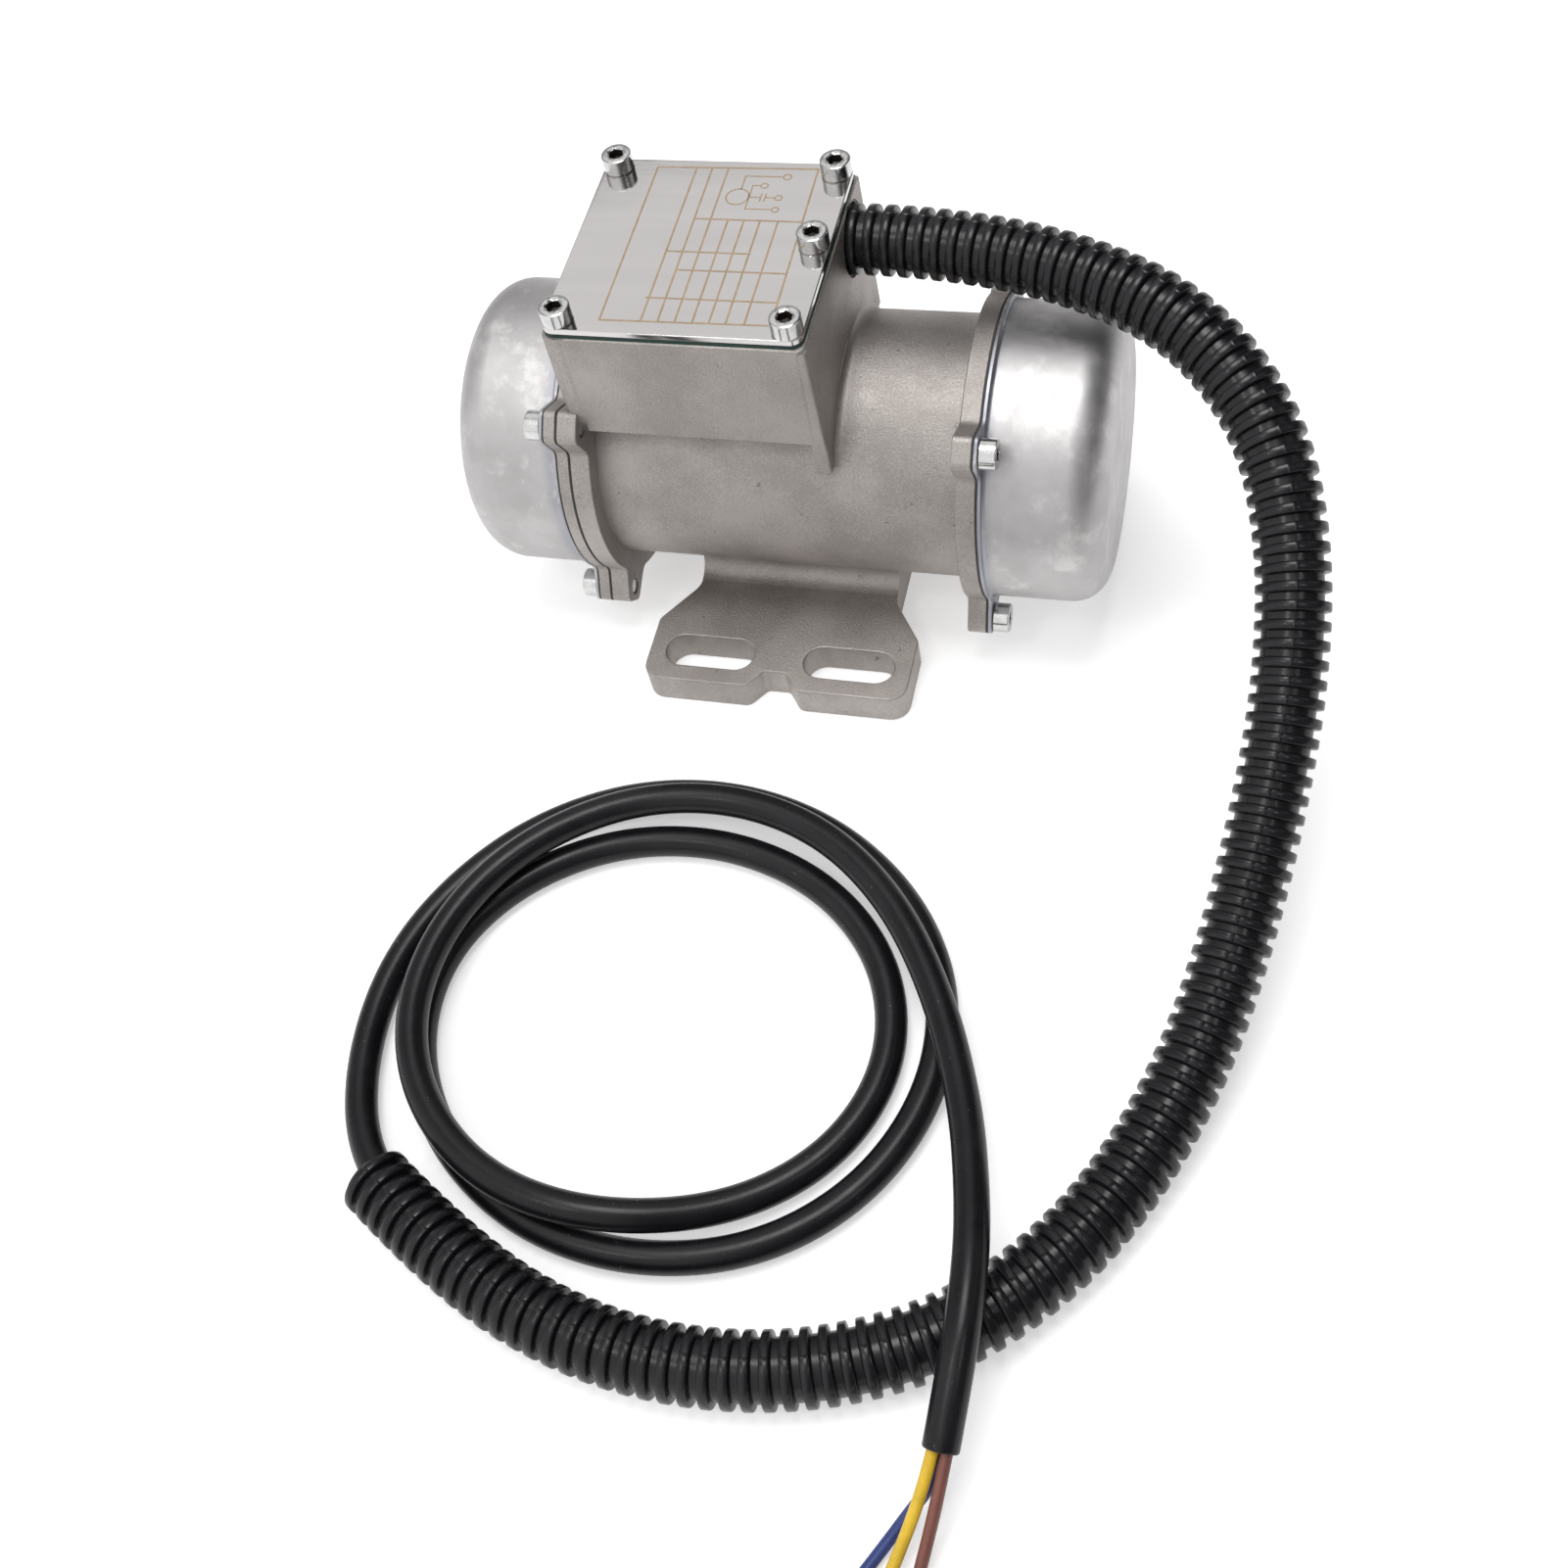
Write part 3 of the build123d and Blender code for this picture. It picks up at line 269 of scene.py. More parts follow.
def grid_quads(rows: int, columns: int, close_rows: bool) -> np.ndarray:
    """Faces of a grid whose columns close into rings.

    Args:
        rows: Number of rings.
        columns: Number of points in a ring.
        close_rows: Whether the last ring joins the first.

    Returns:
        Array of quads as point numbers.
    """
    i = np.arange(rows if close_rows else rows - 1)[:, None]
    j = np.arange(columns)[None, :]
    after = (i + 1) % rows
    beside = (j + 1) % columns
    here, there = i * columns, after * columns
    return np.stack([here + j, here + beside, there + beside, there + j], -1).reshape(-1, 4)


def ring_surface(grid: np.ndarray, close_rows: bool = False) -> Shell:
    """Closed surface from a grid of rings, capped at both ends unless the rows close.

    Args:
        grid: Points of shape (rings, points in a ring, 3).
        close_rows: Whether the last ring joins the first, as in a hollow ring.

    Returns:
        The shell.
    """
    rows, columns = grid.shape[:2]
    points = grid.reshape(-1, 3)
    quads = grid_quads(rows, columns, close_rows)
    triangles = [quads[:, [0, 1, 2]], quads[:, [0, 2, 3]]]
    faces = quads.tolist()
    if not close_rows:
        fan = np.stack([np.zeros(columns - 2, int), np.arange(2, columns), np.arange(1, columns - 1)], -1)
        triangles += [fan, fan[:, ::-1] + (rows - 1) * columns]
        faces += [list(range(columns))[::-1], list(range((rows - 1) * columns, rows * columns))]
    if enclosed(points, np.concatenate(triangles)) < 0:
        faces = [face[::-1] for face in faces]
    return Shell(points, faces)


def turned(profile: Sequence[tuple[float, float]], segments: int = 96, hollow: bool = True) -> Shell:
    """Surface of revolution about the shaft.

    Each profile point (x, r) becomes a circle of radius r in the plane X = x:
    (x, r cos a, shaft height + r sin a) for a from 0 to a full turn.

    Args:
        profile: Points (x, r); closed on itself when the surface is a hollow ring.
        segments: Points round the circle.
        hollow: Whether the profile closes on itself; otherwise its ends are capped.

    Returns:
        The shell.
    """
    outline = np.asarray(profile, float)
    angle = full_turn(segments)
    x = np.repeat(outline[:, :1], segments, 1)
    y = outline[:, 1:] * np.cos(angle)
    z = SHAFT_HEIGHT + outline[:, 1:] * np.sin(angle)
    return ring_surface(np.stack([x, y, z], -1), close_rows=hollow)


def arc(centre: tuple[float, float], radius: float, start: float, end: float, count: int) -> np.ndarray:
    """Points on an arc, both ends included.

    Args:
        centre: Centre of the arc.
        radius: Its radius.
        start: First angle in degrees.
        end: Last angle in degrees.
        count: Number of points.

    Returns:
        Array of shape (count, 2).
    """
    angle = np.radians(np.linspace(start, end, count))
    return np.stack([centre[0] + radius * np.cos(angle), centre[1] + radius * np.sin(angle)], -1)


def circle(centre: tuple[float, float], radius: float, count: int) -> np.ndarray:
    """Points spaced evenly round a full circle, none of them twice.

    Args:
        centre: Centre of the circle.
        radius: Its radius.
        count: Number of points.

    Returns:
        Array of shape (count, 2).
    """
    return arc(centre, radius, 0, 360 - 360 / count, count)


def rounded(corners: Sequence[tuple[float, float, float]], count: int = 7) -> np.ndarray:
    """Closed outline with round corners.

    At each corner the two sides are cut back by r / tan(half the inner angle), and an arc of radius r
    joins the cuts.

    Args:
        corners: (x, y, r) for each corner; r of 0 keeps it sharp.
        count: Points on each arc.

    Returns:
        Array of outline points.
    """
    data = np.asarray(corners, float)
    place, radius = data[:, :2], data[:, 2]
    pieces = []
    for i, corner in enumerate(place):
        if radius[i] <= 0:
            pieces.append(corner[None, :])
            continue
        to_last = place[i - 1] - corner
        to_next = place[(i + 1) % len(place)] - corner
        to_last /= np.linalg.norm(to_last)
        to_next /= np.linalg.norm(to_next)
        half = math.acos(float(np.clip(to_last @ to_next, -1, 1))) / 2
        middle = to_last + to_next
        centre = corner + middle / np.linalg.norm(middle) * radius[i] / math.sin(half)
        first = corner + to_last * radius[i] / math.tan(half) - centre
        last = corner + to_next * radius[i] / math.tan(half) - centre
        sweep = math.atan2(first[0] * last[1] - first[1] * last[0], float(first @ last))
        turn = np.linspace(0, sweep, count)
        x = first[0] * np.cos(turn) - first[1] * np.sin(turn)
        y = first[0] * np.sin(turn) + first[1] * np.cos(turn)
        pieces.append(centre + np.stack([x, y], -1))
    return np.concatenate(pieces)


def rectangle(
    x: tuple[float, float], y: tuple[float, float], corner: tuple[float, float], count: int
) -> np.ndarray:
    """Rectangle with round corners.

    Args:
        x: Its left and right sides.
        y: Its lower and upper sides.
        corner: Radius of the corners on the left and on the right.
        count: Points on each corner.

    Returns:
        Array of outline points.
    """
    sides = [(1, 1), (0, 1), (0, 0), (1, 0)]
    return rounded([(x[across], y[up], corner[across]) for across, up in sides], count)


def drawn_out(
    loops: Sequence[np.ndarray], start: float, end: float, edge: float, axis: Axis, steps: int = 2
) -> Shell:
    """Plate with holes: flat loops filled, drawn out and given round edges.

    The loops are shrunk by the edge radius, drawn out to the thickness less both edges, and a quarter
    circle of that radius is carried round every loop.

    Args:
        loops: The outline and then its holes.
        start: Lower face along the axis.
        end: Upper face along the axis.
        edge: Radius of the round edges.
        axis: Direction of the thickness.
        steps: How finely each round edge is divided.

    Returns:
        The shell.
    """
    flat = bpy.data.curves.new("flat", "CURVE")
    flat.dimensions = "2D"
    flat.fill_mode = "BOTH"
    flat.extrude = (end - start) / 2 - edge
    flat.bevel_depth = edge
    flat.bevel_resolution = steps
    flat.offset = -edge
    for loop in loops:
        spline = flat.splines.new("POLY")
        spline.points.add(len(loop) - 1)
        flat_points = np.concatenate([loop, np.zeros((len(loop), 1)), np.ones((len(loop), 1))], 1)
        spline.points.foreach_set("co", flat_points.ravel())
        spline.use_cyclic_u = True
    holder = linked("flat", flat)
    mesh = final_mesh(holder)
    bpy.data.objects.remove(holder)
    bpy.data.curves.remove(flat)
    points, faces = welded(mesh)
    bpy.data.meshes.remove(mesh)
    points[:, 2] += (start + end) / 2
    if axis is Axis.ALONG_SHAFT:
        points = points[:, [2, 0, 1]] + np.array([0, 0, SHAFT_HEIGHT])
    return Shell(points, faces)


def welded(mesh: bpy.types.Mesh) -> tuple[np.ndarray, list]:
    """Points and faces of a mesh with coincident points merged and its faces turned outwards.

    Args:
        mesh: Mesh to read.

    Returns:
        Its points and its faces as lists of point numbers.
    """
    work = bmesh.new()
    work.from_mesh(mesh)
    bmesh.ops.remove_doubles(work, verts=work.verts, dist=1e-4)
    bmesh.ops.recalc_face_normals(work, faces=work.faces)
    points = np.array([v.co[:] for v in work.verts])
    faces = [[v.index for v in f.verts] for f in work.faces]
    work.free()
    return points, faces


def united(
    name: str, parts: Sequence[Shell], cuts: Sequence[Shell] = (), crease: float = 32.0
) -> bpy.types.Object:
    """Several closed shells made one body, less the space of some others.

    Args:
        name: Name of the object.
        parts: Shells that are added together, the first with all that follow.
        cuts: Shells whose space is taken away at the end.
        crease: Angle in degrees from which an edge stays sharp.

    Returns:
        The object.
    """
    body = parts[0].build(name + "_raw", crease, weighted=False)
    helpers = []
    steps = [(part, "UNION") for part in parts[1:]] + [(cut, "DIFFERENCE") for cut in cuts]
    for number, (shell, operation) in enumerate(steps):
        helper = shell.build(f"{name}_step{number}", crease, weighted=False)
        modifier = body.modifiers.new(f"step{number}", "BOOLEAN")
        modifier.object = helper
        modifier.operation = operation
        modifier.solver = "MANIFOLD"
        helpers.append(helper)
    mesh = final_mesh(body)
    for helper in helpers + [body]:
        old = helper.data
        bpy.data.objects.remove(helper)
        bpy.data.meshes.remove(old)
    mesh.name = name
    return finished(name, mesh, crease, weighted=True)


def lug_holes() -> list[np.ndarray]:
    """The four screw holes on the lugs' circle, in the plane across the shaft."""
    centres = LUG_CIRCLE * np.stack([np.cos(LUG_ANGLES), np.sin(LUG_ANGLES)], -1)
    return [circle(tuple(centre), SCREW_HOLE, 24) for centre in centres]


def lugged(opening: float) -> list[np.ndarray]:
    """Outline of a flange with four lugs, its round opening and its screw holes.

    The side of a lug is a straight line; a circle of the root radius touches both that line and the
    flange's circle, and a small circle rounds the tip. One lug's points are turned to the four angles.

    Args:
        opening: Radius of the opening.

    Returns:
        The outline first and then the holes, in the plane across the shaft.
    """
    flange, root, tip, tip_round = 35.8, 3.0, 43.8, 1.8
    start, end = np.array([31.0, 7.5]), np.array([tip, 3.4])
    along = (end - start) / np.linalg.norm(end - start)
    normal = np.array([-along[1], along[0]])
    base = start + root * normal
    half = float(base @ along)
    reach = math.sqrt(half**2 - float(base @ base) + (flange + root) ** 2) - half
    centre = base + reach * along
    first = math.degrees(math.atan2(-centre[1], -centre[0]))
    last = math.degrees(math.atan2(-normal[1], -normal[0]))
    root_arc = arc(tuple(centre), root, first, last, 8)
    corner = rounded([(*start, 0), (*end, tip_round), (tip, 0.0, 0)], 6)[1:-1]
    upper = np.concatenate([root_arc, corner])
    lug = np.concatenate([upper * [1, -1], upper[::-1]])
    touch = math.degrees(math.atan2(centre[1], centre[0]))
    rim = arc((0, 0), flange, touch, 90 - touch, 22)[1:-1]
    quarter = np.concatenate([lug, rim])
    spin = np.array([[[math.cos(a), math.sin(a)], [-math.sin(a), math.cos(a)]] for a in LUG_ANGLES])
    outline = np.einsum("nk,qkl->qnl", quarter, spin).reshape(-1, 2)
    return [outline, circle((0, 0), opening, 120)] + lug_holes()


def node(tree: bpy.types.NodeTree, kind: str, inputs: dict, **settings: str) -> bpy.types.Node:
    """A shader node with its settings and inputs.

    Args:
        tree: Node tree that it joins.
        kind: Its type, without the leading ShaderNode.
        inputs: For each input, by name or number, its value or the socket that feeds it.
        **settings: Properties that are set before the inputs.

    Returns:
        The node.
    """
    made = tree.nodes.new("ShaderNode" + kind)
    for name, value in settings.items():
        setattr(made, name, value)
    for name, value in inputs.items():
        if isinstance(value, bpy.types.NodeSocket):
            tree.links.new(value, made.inputs[name])
        else:
            made.inputs[name].default_value = value
    return made


def calculated(tree: bpy.types.NodeTree, operation: str, *values: object) -> bpy.types.NodeSocket:
    """Result of a Math node.

    Args:
        tree: Node tree.
        operation: The node's operation.
        *values: Its inputs in order, as sockets or numbers.

    Returns:
        Socket with the result.
    """
    return node(tree, "Math", dict(enumerate(values)), operation=operation).outputs[0]


def mapped(
    tree: bpy.types.NodeTree, value: bpy.types.NodeSocket, limits: Sequence[float], way: str = "LINEAR"
) -> bpy.types.NodeSocket:
    """A value carried from one range to another and held at its ends.

    Args:
        tree: Node tree.
        value: Socket with the value.
        limits: Start and end of the value, then what they become.
        way: Shape of the change in between.

    Returns:
        Socket with the result.
    """
    names = ("From Min", "From Max", "To Min", "To Max")
    inputs = {"Value": value, **dict(zip(names, limits))}
    return node(tree, "MapRange", inputs, interpolation_type=way).outputs["Result"]


def mixed(
    tree: bpy.types.NodeTree, amount: bpy.types.NodeSocket, first: bpy.types.NodeSocket,
    second: tuple[float, float, float],
) -> bpy.types.NodeSocket:
    """A colour that turns into another by an amount.

    Args:
        tree: Node tree.
        amount: Socket with the share of the second colour.
        first: Socket with the first colour.
        second: The second colour.

    Returns:
        Socket with the colour.
    """
    return node(tree, "Mix", {0: amount, 6: first, 7: (*second, 1.0)}, data_type="RGBA").outputs[2]


@dataclass(frozen=True)
class Finish:
    """Surface of one material: two tones in patches, uneven gloss and a fine grain.

    Tone and second are the two colours, mottle a fine change between them, and specks a third colour
    in spots where a noise passes the speck level. The roughness varies by the spread on both sides.
    Patch, grain and speck scale count a noise's cells in a metre, relief is the grain's height in
    metres, stretch scales the pattern along each axis, and index is the index of refraction.
    """

    name: str
    tone: tuple[float, float, float]
    second: tuple[float, float, float]
    roughness: float
    metal: float = 0.0
    spread: float = 0.08
    patch: float = 60.0
    grain: float = 1500.0
    relief: float = 0.00002
    stretch: tuple[float, float, float] = (1.0, 1.0, 1.0)
    specks: tuple[float, float, float] | None = None
    speck_scale: float = 900.0
    speck_level: float = 0.70
    mottle: float = 0.0
    index: float = 1.5

    def material(self) -> bpy.types.Material:
        """The material, made once and then shared.

        Returns:
            A material whose patches, gloss and grain come from noise on Object coordinates.
        """
        title = "look_" + self.name
        known = bpy.data.materials.get(title)
        if known is not None:
            return known
        made = bpy.data.materials.new(title)
        made.use_nodes = True
        made.diffuse_color = (*self.tone, 1.0)
        tree = made.node_tree
        shader = tree.nodes["Principled BSDF"]
        shader.inputs["Metallic"].default_value = self.metal
        shader.inputs["IOR"].default_value = self.index
        place = tree.nodes.new("ShaderNodeTexCoord").outputs["Object"]
        where = node(tree, "Mapping", {"Vector": place, "Scale": self.stretch}).outputs["Vector"]
        patches = self.noise(tree, where, self.patch, 4.0, 0.6)
        if self.mottle > 0.0:
            grains = self.noise(tree, where, self.grain * 0.8, 2.0, 0.6)
            fine = mapped(tree, grains, (NOISE_LOW, NOISE_HIGH, -self.mottle, self.mottle))
            patches = calculated(tree, "ADD", patches, fine)
        colour = self.ramp(tree, patches, [(0.36, self.tone), (0.66, self.second)])
        if self.specks is not None:
            dust = self.noise(tree, where, self.speck_scale, 2.0, 0.7)
            stops = [(self.speck_level, (0, 0, 0)), (self.speck_level + 0.06, (0.5, 0.5, 0.5))]
            colour = mixed(tree, self.ramp(tree, dust, stops), colour, self.specks)
        self.decorate(tree, shader, place, colour)
        low = max(0.02, self.roughness - self.spread)
        high = min(1.0, self.roughness + self.spread)
        sheen = self.noise(tree, where, self.patch * 2.3, 5.0, 0.65)
        gloss = mapped(tree, sheen, (NOISE_LOW, NOISE_HIGH, low, high))
        tree.links.new(gloss, shader.inputs["Roughness"])
        height = self.noise(tree, where, self.grain, 3.0, 0.6)
        bump = node(tree, "Bump", {"Strength": 1.0, "Distance": self.relief, "Height": height})
        tree.links.new(bump.outputs["Normal"], shader.inputs["Normal"])
        return made

    def decorate(
        self, tree: bpy.types.NodeTree, shader: bpy.types.Node, place: bpy.types.NodeSocket,
        colour: bpy.types.NodeSocket,
    ) -> None:
        """Joins the colour to the shader; a special finish paints its own marks first.

        Args:
            tree: Node tree of the material.
            shader: Its shader.
            place: Socket with Object coordinates.
            colour: Socket with the patchy colour.
        """
        tree.links.new(colour, shader.inputs["Base Color"])

    @staticmethod
    def noise(
        tree: bpy.types.NodeTree, where: bpy.types.NodeSocket, scale: float, detail: float, rough: float
    ) -> bpy.types.NodeSocket:
        """A noise texture's value.

        Args:
            tree: Node tree.
            where: Socket with the coordinates, in metres.
            scale: Cells per metre.
            detail: Octaves.
            rough: Weight of the finer octaves.

        Returns:
            Socket with values round 0.5.
        """
        inputs = {"Vector": where, "Scale": scale, "Detail": detail, "Roughness": rough}
        return node(tree, "TexNoise", inputs).outputs["Fac"]

    @staticmethod
    def ramp(
        tree: bpy.types.NodeTree, value: bpy.types.NodeSocket,
        stops: Sequence[tuple[float, tuple[float, float, float]]],
    ) -> bpy.types.NodeSocket:
        """A colour ramp.

        Args:
            tree: Node tree.
            value: Socket with the value.
            stops: Places from 0 to 1 with their colours.

        Returns:
            Socket with the colour.
        """
        made = node(tree, "ValToRGB", {"Fac": value})
        elements = made.color_ramp.elements
        for number, (position, colour) in enumerate(stops):
            element = elements[number] if number < 2 else elements.new(position)
            element.position = position
            element.color = (*colour, 1.0)
        return made.outputs["Color"]


@dataclass(frozen=True)
class DrawnSteel(Finish):
    """Drawn cover steel with a heat tint on its thin flange and pale stains all over."""

    flange_x: float = 0.0512
    tint_reach: float = 0.0022
    tint_share: float = 0.55
    tint: tuple[float, float, float] = (0.16, 0.20, 0.33)
    pale: tuple[float, float, float] = (0.78, 0.77, 0.76)

    def decorate(
        self, tree: bpy.types.NodeTree, shader: bpy.types.Node, place: bpy.types.NodeSocket,
        colour: bpy.types.NodeSocket,
    ) -> None:
        """Tints the metal in blotches on the flange, fading along the shaft, and adds the pale stains.

        Args:
            tree: Node tree of the material.
            shader: Its shader.
            place: Socket with Object coordinates.
            colour: Socket with the patchy colour.
        """
        along = node(tree, "SeparateXYZ", {0: place}).outputs["X"]
        away = calculated(tree, "ABSOLUTE", along)
        near = mapped(tree, away, (self.flange_x, self.flange_x + self.tint_reach, self.tint_share, 0.0))
        blotches = calculated(tree, "MULTIPLY", near, self.noise(tree, place, 70.0, 2.0, 0.5))
        tinted = mixed(tree, blotches, colour, self.tint)
        stains = self.noise(tree, place, 95.0, 7.0, 0.72)
        amount = self.ramp(tree, stains, [(0.53, (0, 0, 0)), (0.64, (0.55, 0.55, 0.55))])
        tree.links.new(mixed(tree, amount, tinted, self.pale), shader.inputs["Base Color"])


CASTING = Finish(
    "blasted_casting", (0.375, 0.347, 0.328), (0.495, 0.461, 0.440), 0.53, metal=1.0,
    spread=0.05, patch=45.0, grain=2500.0, relief=0.00014, specks=(0.05, 0.045, 0.04), speck_scale=420.0,
    speck_level=0.70, mottle=0.15,
)
COVER = DrawnSteel(
    "drawn_cover_steel", (0.50, 0.486, 0.486), (0.60, 0.586, 0.586), 0.50, metal=1.0,
    spread=0.07, patch=55.0, grain=1800.0, relief=0.000012,
)
LID = Finish(
    "polished_lid_steel", (0.62, 0.60, 0.59), (0.68, 0.66, 0.65), 0.09, metal=1.0,
    spread=0.035, patch=60.0, grain=900.0, relief=0.000004, stretch=(0.15, 1.0, 1.0),
)
SCREW = Finish(
    "polished_screw_steel", (0.60, 0.60, 0.60), (0.72, 0.72, 0.71), 0.17, metal=1.0,
    spread=0.06, patch=400.0, grain=3500.0, relief=0.000006,
)
# Near-black finish inside the screws' hex sockets: painted shade in the recess, far darker than the screws'
# own steel.
SOCKET_SHADE = Finish(
    "painted_socket_shade", (0.035, 0.030, 0.026), (0.07, 0.06, 0.05), 0.42, metal=0.7, patch=900.0, grain=3500.0,
)
ETCHING = Finish(
    "golden_etching", (0.40, 0.290, 0.185), (0.50, 0.370, 0.250), 0.45, metal=0.4,
    spread=0.10, patch=500.0, grain=3000.0, relief=0.00001,
)
DARK_GASKET = Finish("dark_gasket", (0.035, 0.033, 0.031), (0.06, 0.055, 0.05), 0.7, patch=300.0)
GREEN_GASKET = Finish("green_gasket", (0.008, 0.036, 0.027), (0.013, 0.050, 0.037), 0.62, patch=300.0)
BUSH = Finish(
    "bush_rubber", (0.016, 0.016, 0.017), (0.026, 0.026, 0.027), 0.42, patch=200.0, grain=2500.0,
    relief=0.00002,
)
CONDUIT = Finish(
    "conduit_plastic", (0.0075, 0.0075, 0.0092), (0.0115, 0.0115, 0.0135), 0.26, patch=160.0, grain=1800.0,
    relief=0.000008, spread=0.05, index=1.40,
)
CABLE = Finish(
    "cable_rubber", (0.0065, 0.0065, 0.008), (0.0105, 0.0105, 0.0125), 0.30, patch=120.0, grain=2200.0,
    relief=0.000012, spread=0.05, specks=(0.16, 0.155, 0.15), index=1.36,
)
BEARING = Finish("bearing_steel", (0.62, 0.62, 0.62), (0.70, 0.70, 0.70), 0.12, metal=1.0, patch=150.0)
SPRING = Finish("spring_steel", (0.10, 0.10, 0.11), (0.16, 0.16, 0.17), 0.35, metal=1.0, patch=200.0)
WEIGHT = Finish("weight_steel", (0.33, 0.32, 0.31), (0.42, 0.41, 0.40), 0.42, metal=1.0, patch=70.0)
LAMINATION = Finish(
    "stacked_sheets", (0.24, 0.24, 0.25), (0.34, 0.34, 0.35), 0.45, metal=1.0, patch=900.0,
    stretch=(2.5, 0.05, 0.05), relief=0.00004,
)
ALUMINIUM = Finish("cage_aluminium", (0.66, 0.66, 0.66), (0.76, 0.76, 0.76), 0.40, metal=1.0, patch=120.0)
COPPER = Finish("wound_copper", (0.56, 0.22, 0.08), (0.68, 0.30, 0.12), 0.30, metal=1.0, patch=500.0)
CAGE_PLASTIC = Finish("cage_plastic", (0.36, 0.31, 0.22), (0.44, 0.38, 0.28), 0.5, patch=200.0)
CAPACITOR = Finish("capacitor_case", (0.62, 0.62, 0.58), (0.70, 0.70, 0.66), 0.45, patch=150.0)
BLOCK = Finish("block_plastic", (0.55, 0.53, 0.46), (0.63, 0.61, 0.54), 0.42, patch=180.0)
WHITE_LEAD = Finish("lead_white", (0.66, 0.66, 0.64), (0.74, 0.74, 0.72), 0.4, patch=200.0)


def core_finish(colour: CoreColour) -> Finish:
    """Insulation of one core.

    Args:
        colour: Which core.

    Returns:
        Its finish, a soft plastic with a slightly darker second tone.
    """
    darker = tuple(0.8 * c for c in colour.value)
    return Finish(f"insulation_{colour.name.lower()}", colour.value, darker, 0.36, patch=250.0)


SLOT_FINISHES = {
    "cast_steel": CASTING, "cover_steel": COVER, "lid_steel": LID, "screw_steel": SCREW,
    "gasket_dark": DARK_GASKET, "gasket_green": GREEN_GASKET, "bush_rubber": BUSH,
    "conduit_plastic": CONDUIT, "cable_rubber": CABLE, "lead_white": WHITE_LEAD,
    "core_yellow": core_finish(CoreColour.YELLOW), "core_brown": core_finish(CoreColour.BROWN),
    "core_blue": core_finish(CoreColour.BLUE), "copper": COPPER, "lamination": LAMINATION,
    "bearing_steel": BEARING, "spring_steel": SPRING, "weight_steel": WEIGHT,
    "cage_aluminium": ALUMINIUM, "cage_plastic": CAGE_PLASTIC, "capacitor_case": CAPACITOR,
    "block_plastic": BLOCK,
}


def dress(
    piece: bpy.types.Object, finish: Finish, replaced: Sequence[str] = ()
) -> bpy.types.Object:
    """Gives a piece its material and slot, puts it on the housing, and lets it stand for its solids.

    Args:
        piece: The object.
        finish: Its finish.
        replaced: Names of the solids that it stands for.

    Returns:
        The same object.
    """
    piece.data.materials.clear()
    piece.data.materials.append(finish.material())
    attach(piece, "housing")
    if replaced:
        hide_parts(*replaced)
    LOG.info("%s: %d faces", piece.name, len(piece.data.polygons))
    return piece


@dataclass(frozen=True)
class Lamp:
    """Square lamp; its place and size are in metres and its power in watts."""

    name: str
    place: tuple[float, float, float]
    size: float
    power: float

    def build(self, target: tuple[float, float, float]) -> None:
        """The lamp in the scene.

        Args:
            target: Point that it is turned to.
        """
        data = bpy.data.lights.new(self.name, "AREA")
        data.shape = "SQUARE"
        data.size = self.size
        data.energy = self.power
        lamp = linked(self.name, data)
        lamp.location = self.place
        away = Vector(self.place) - Vector(target)
        lamp.rotation_euler = away.to_track_quat("Z", "Y").to_euler()


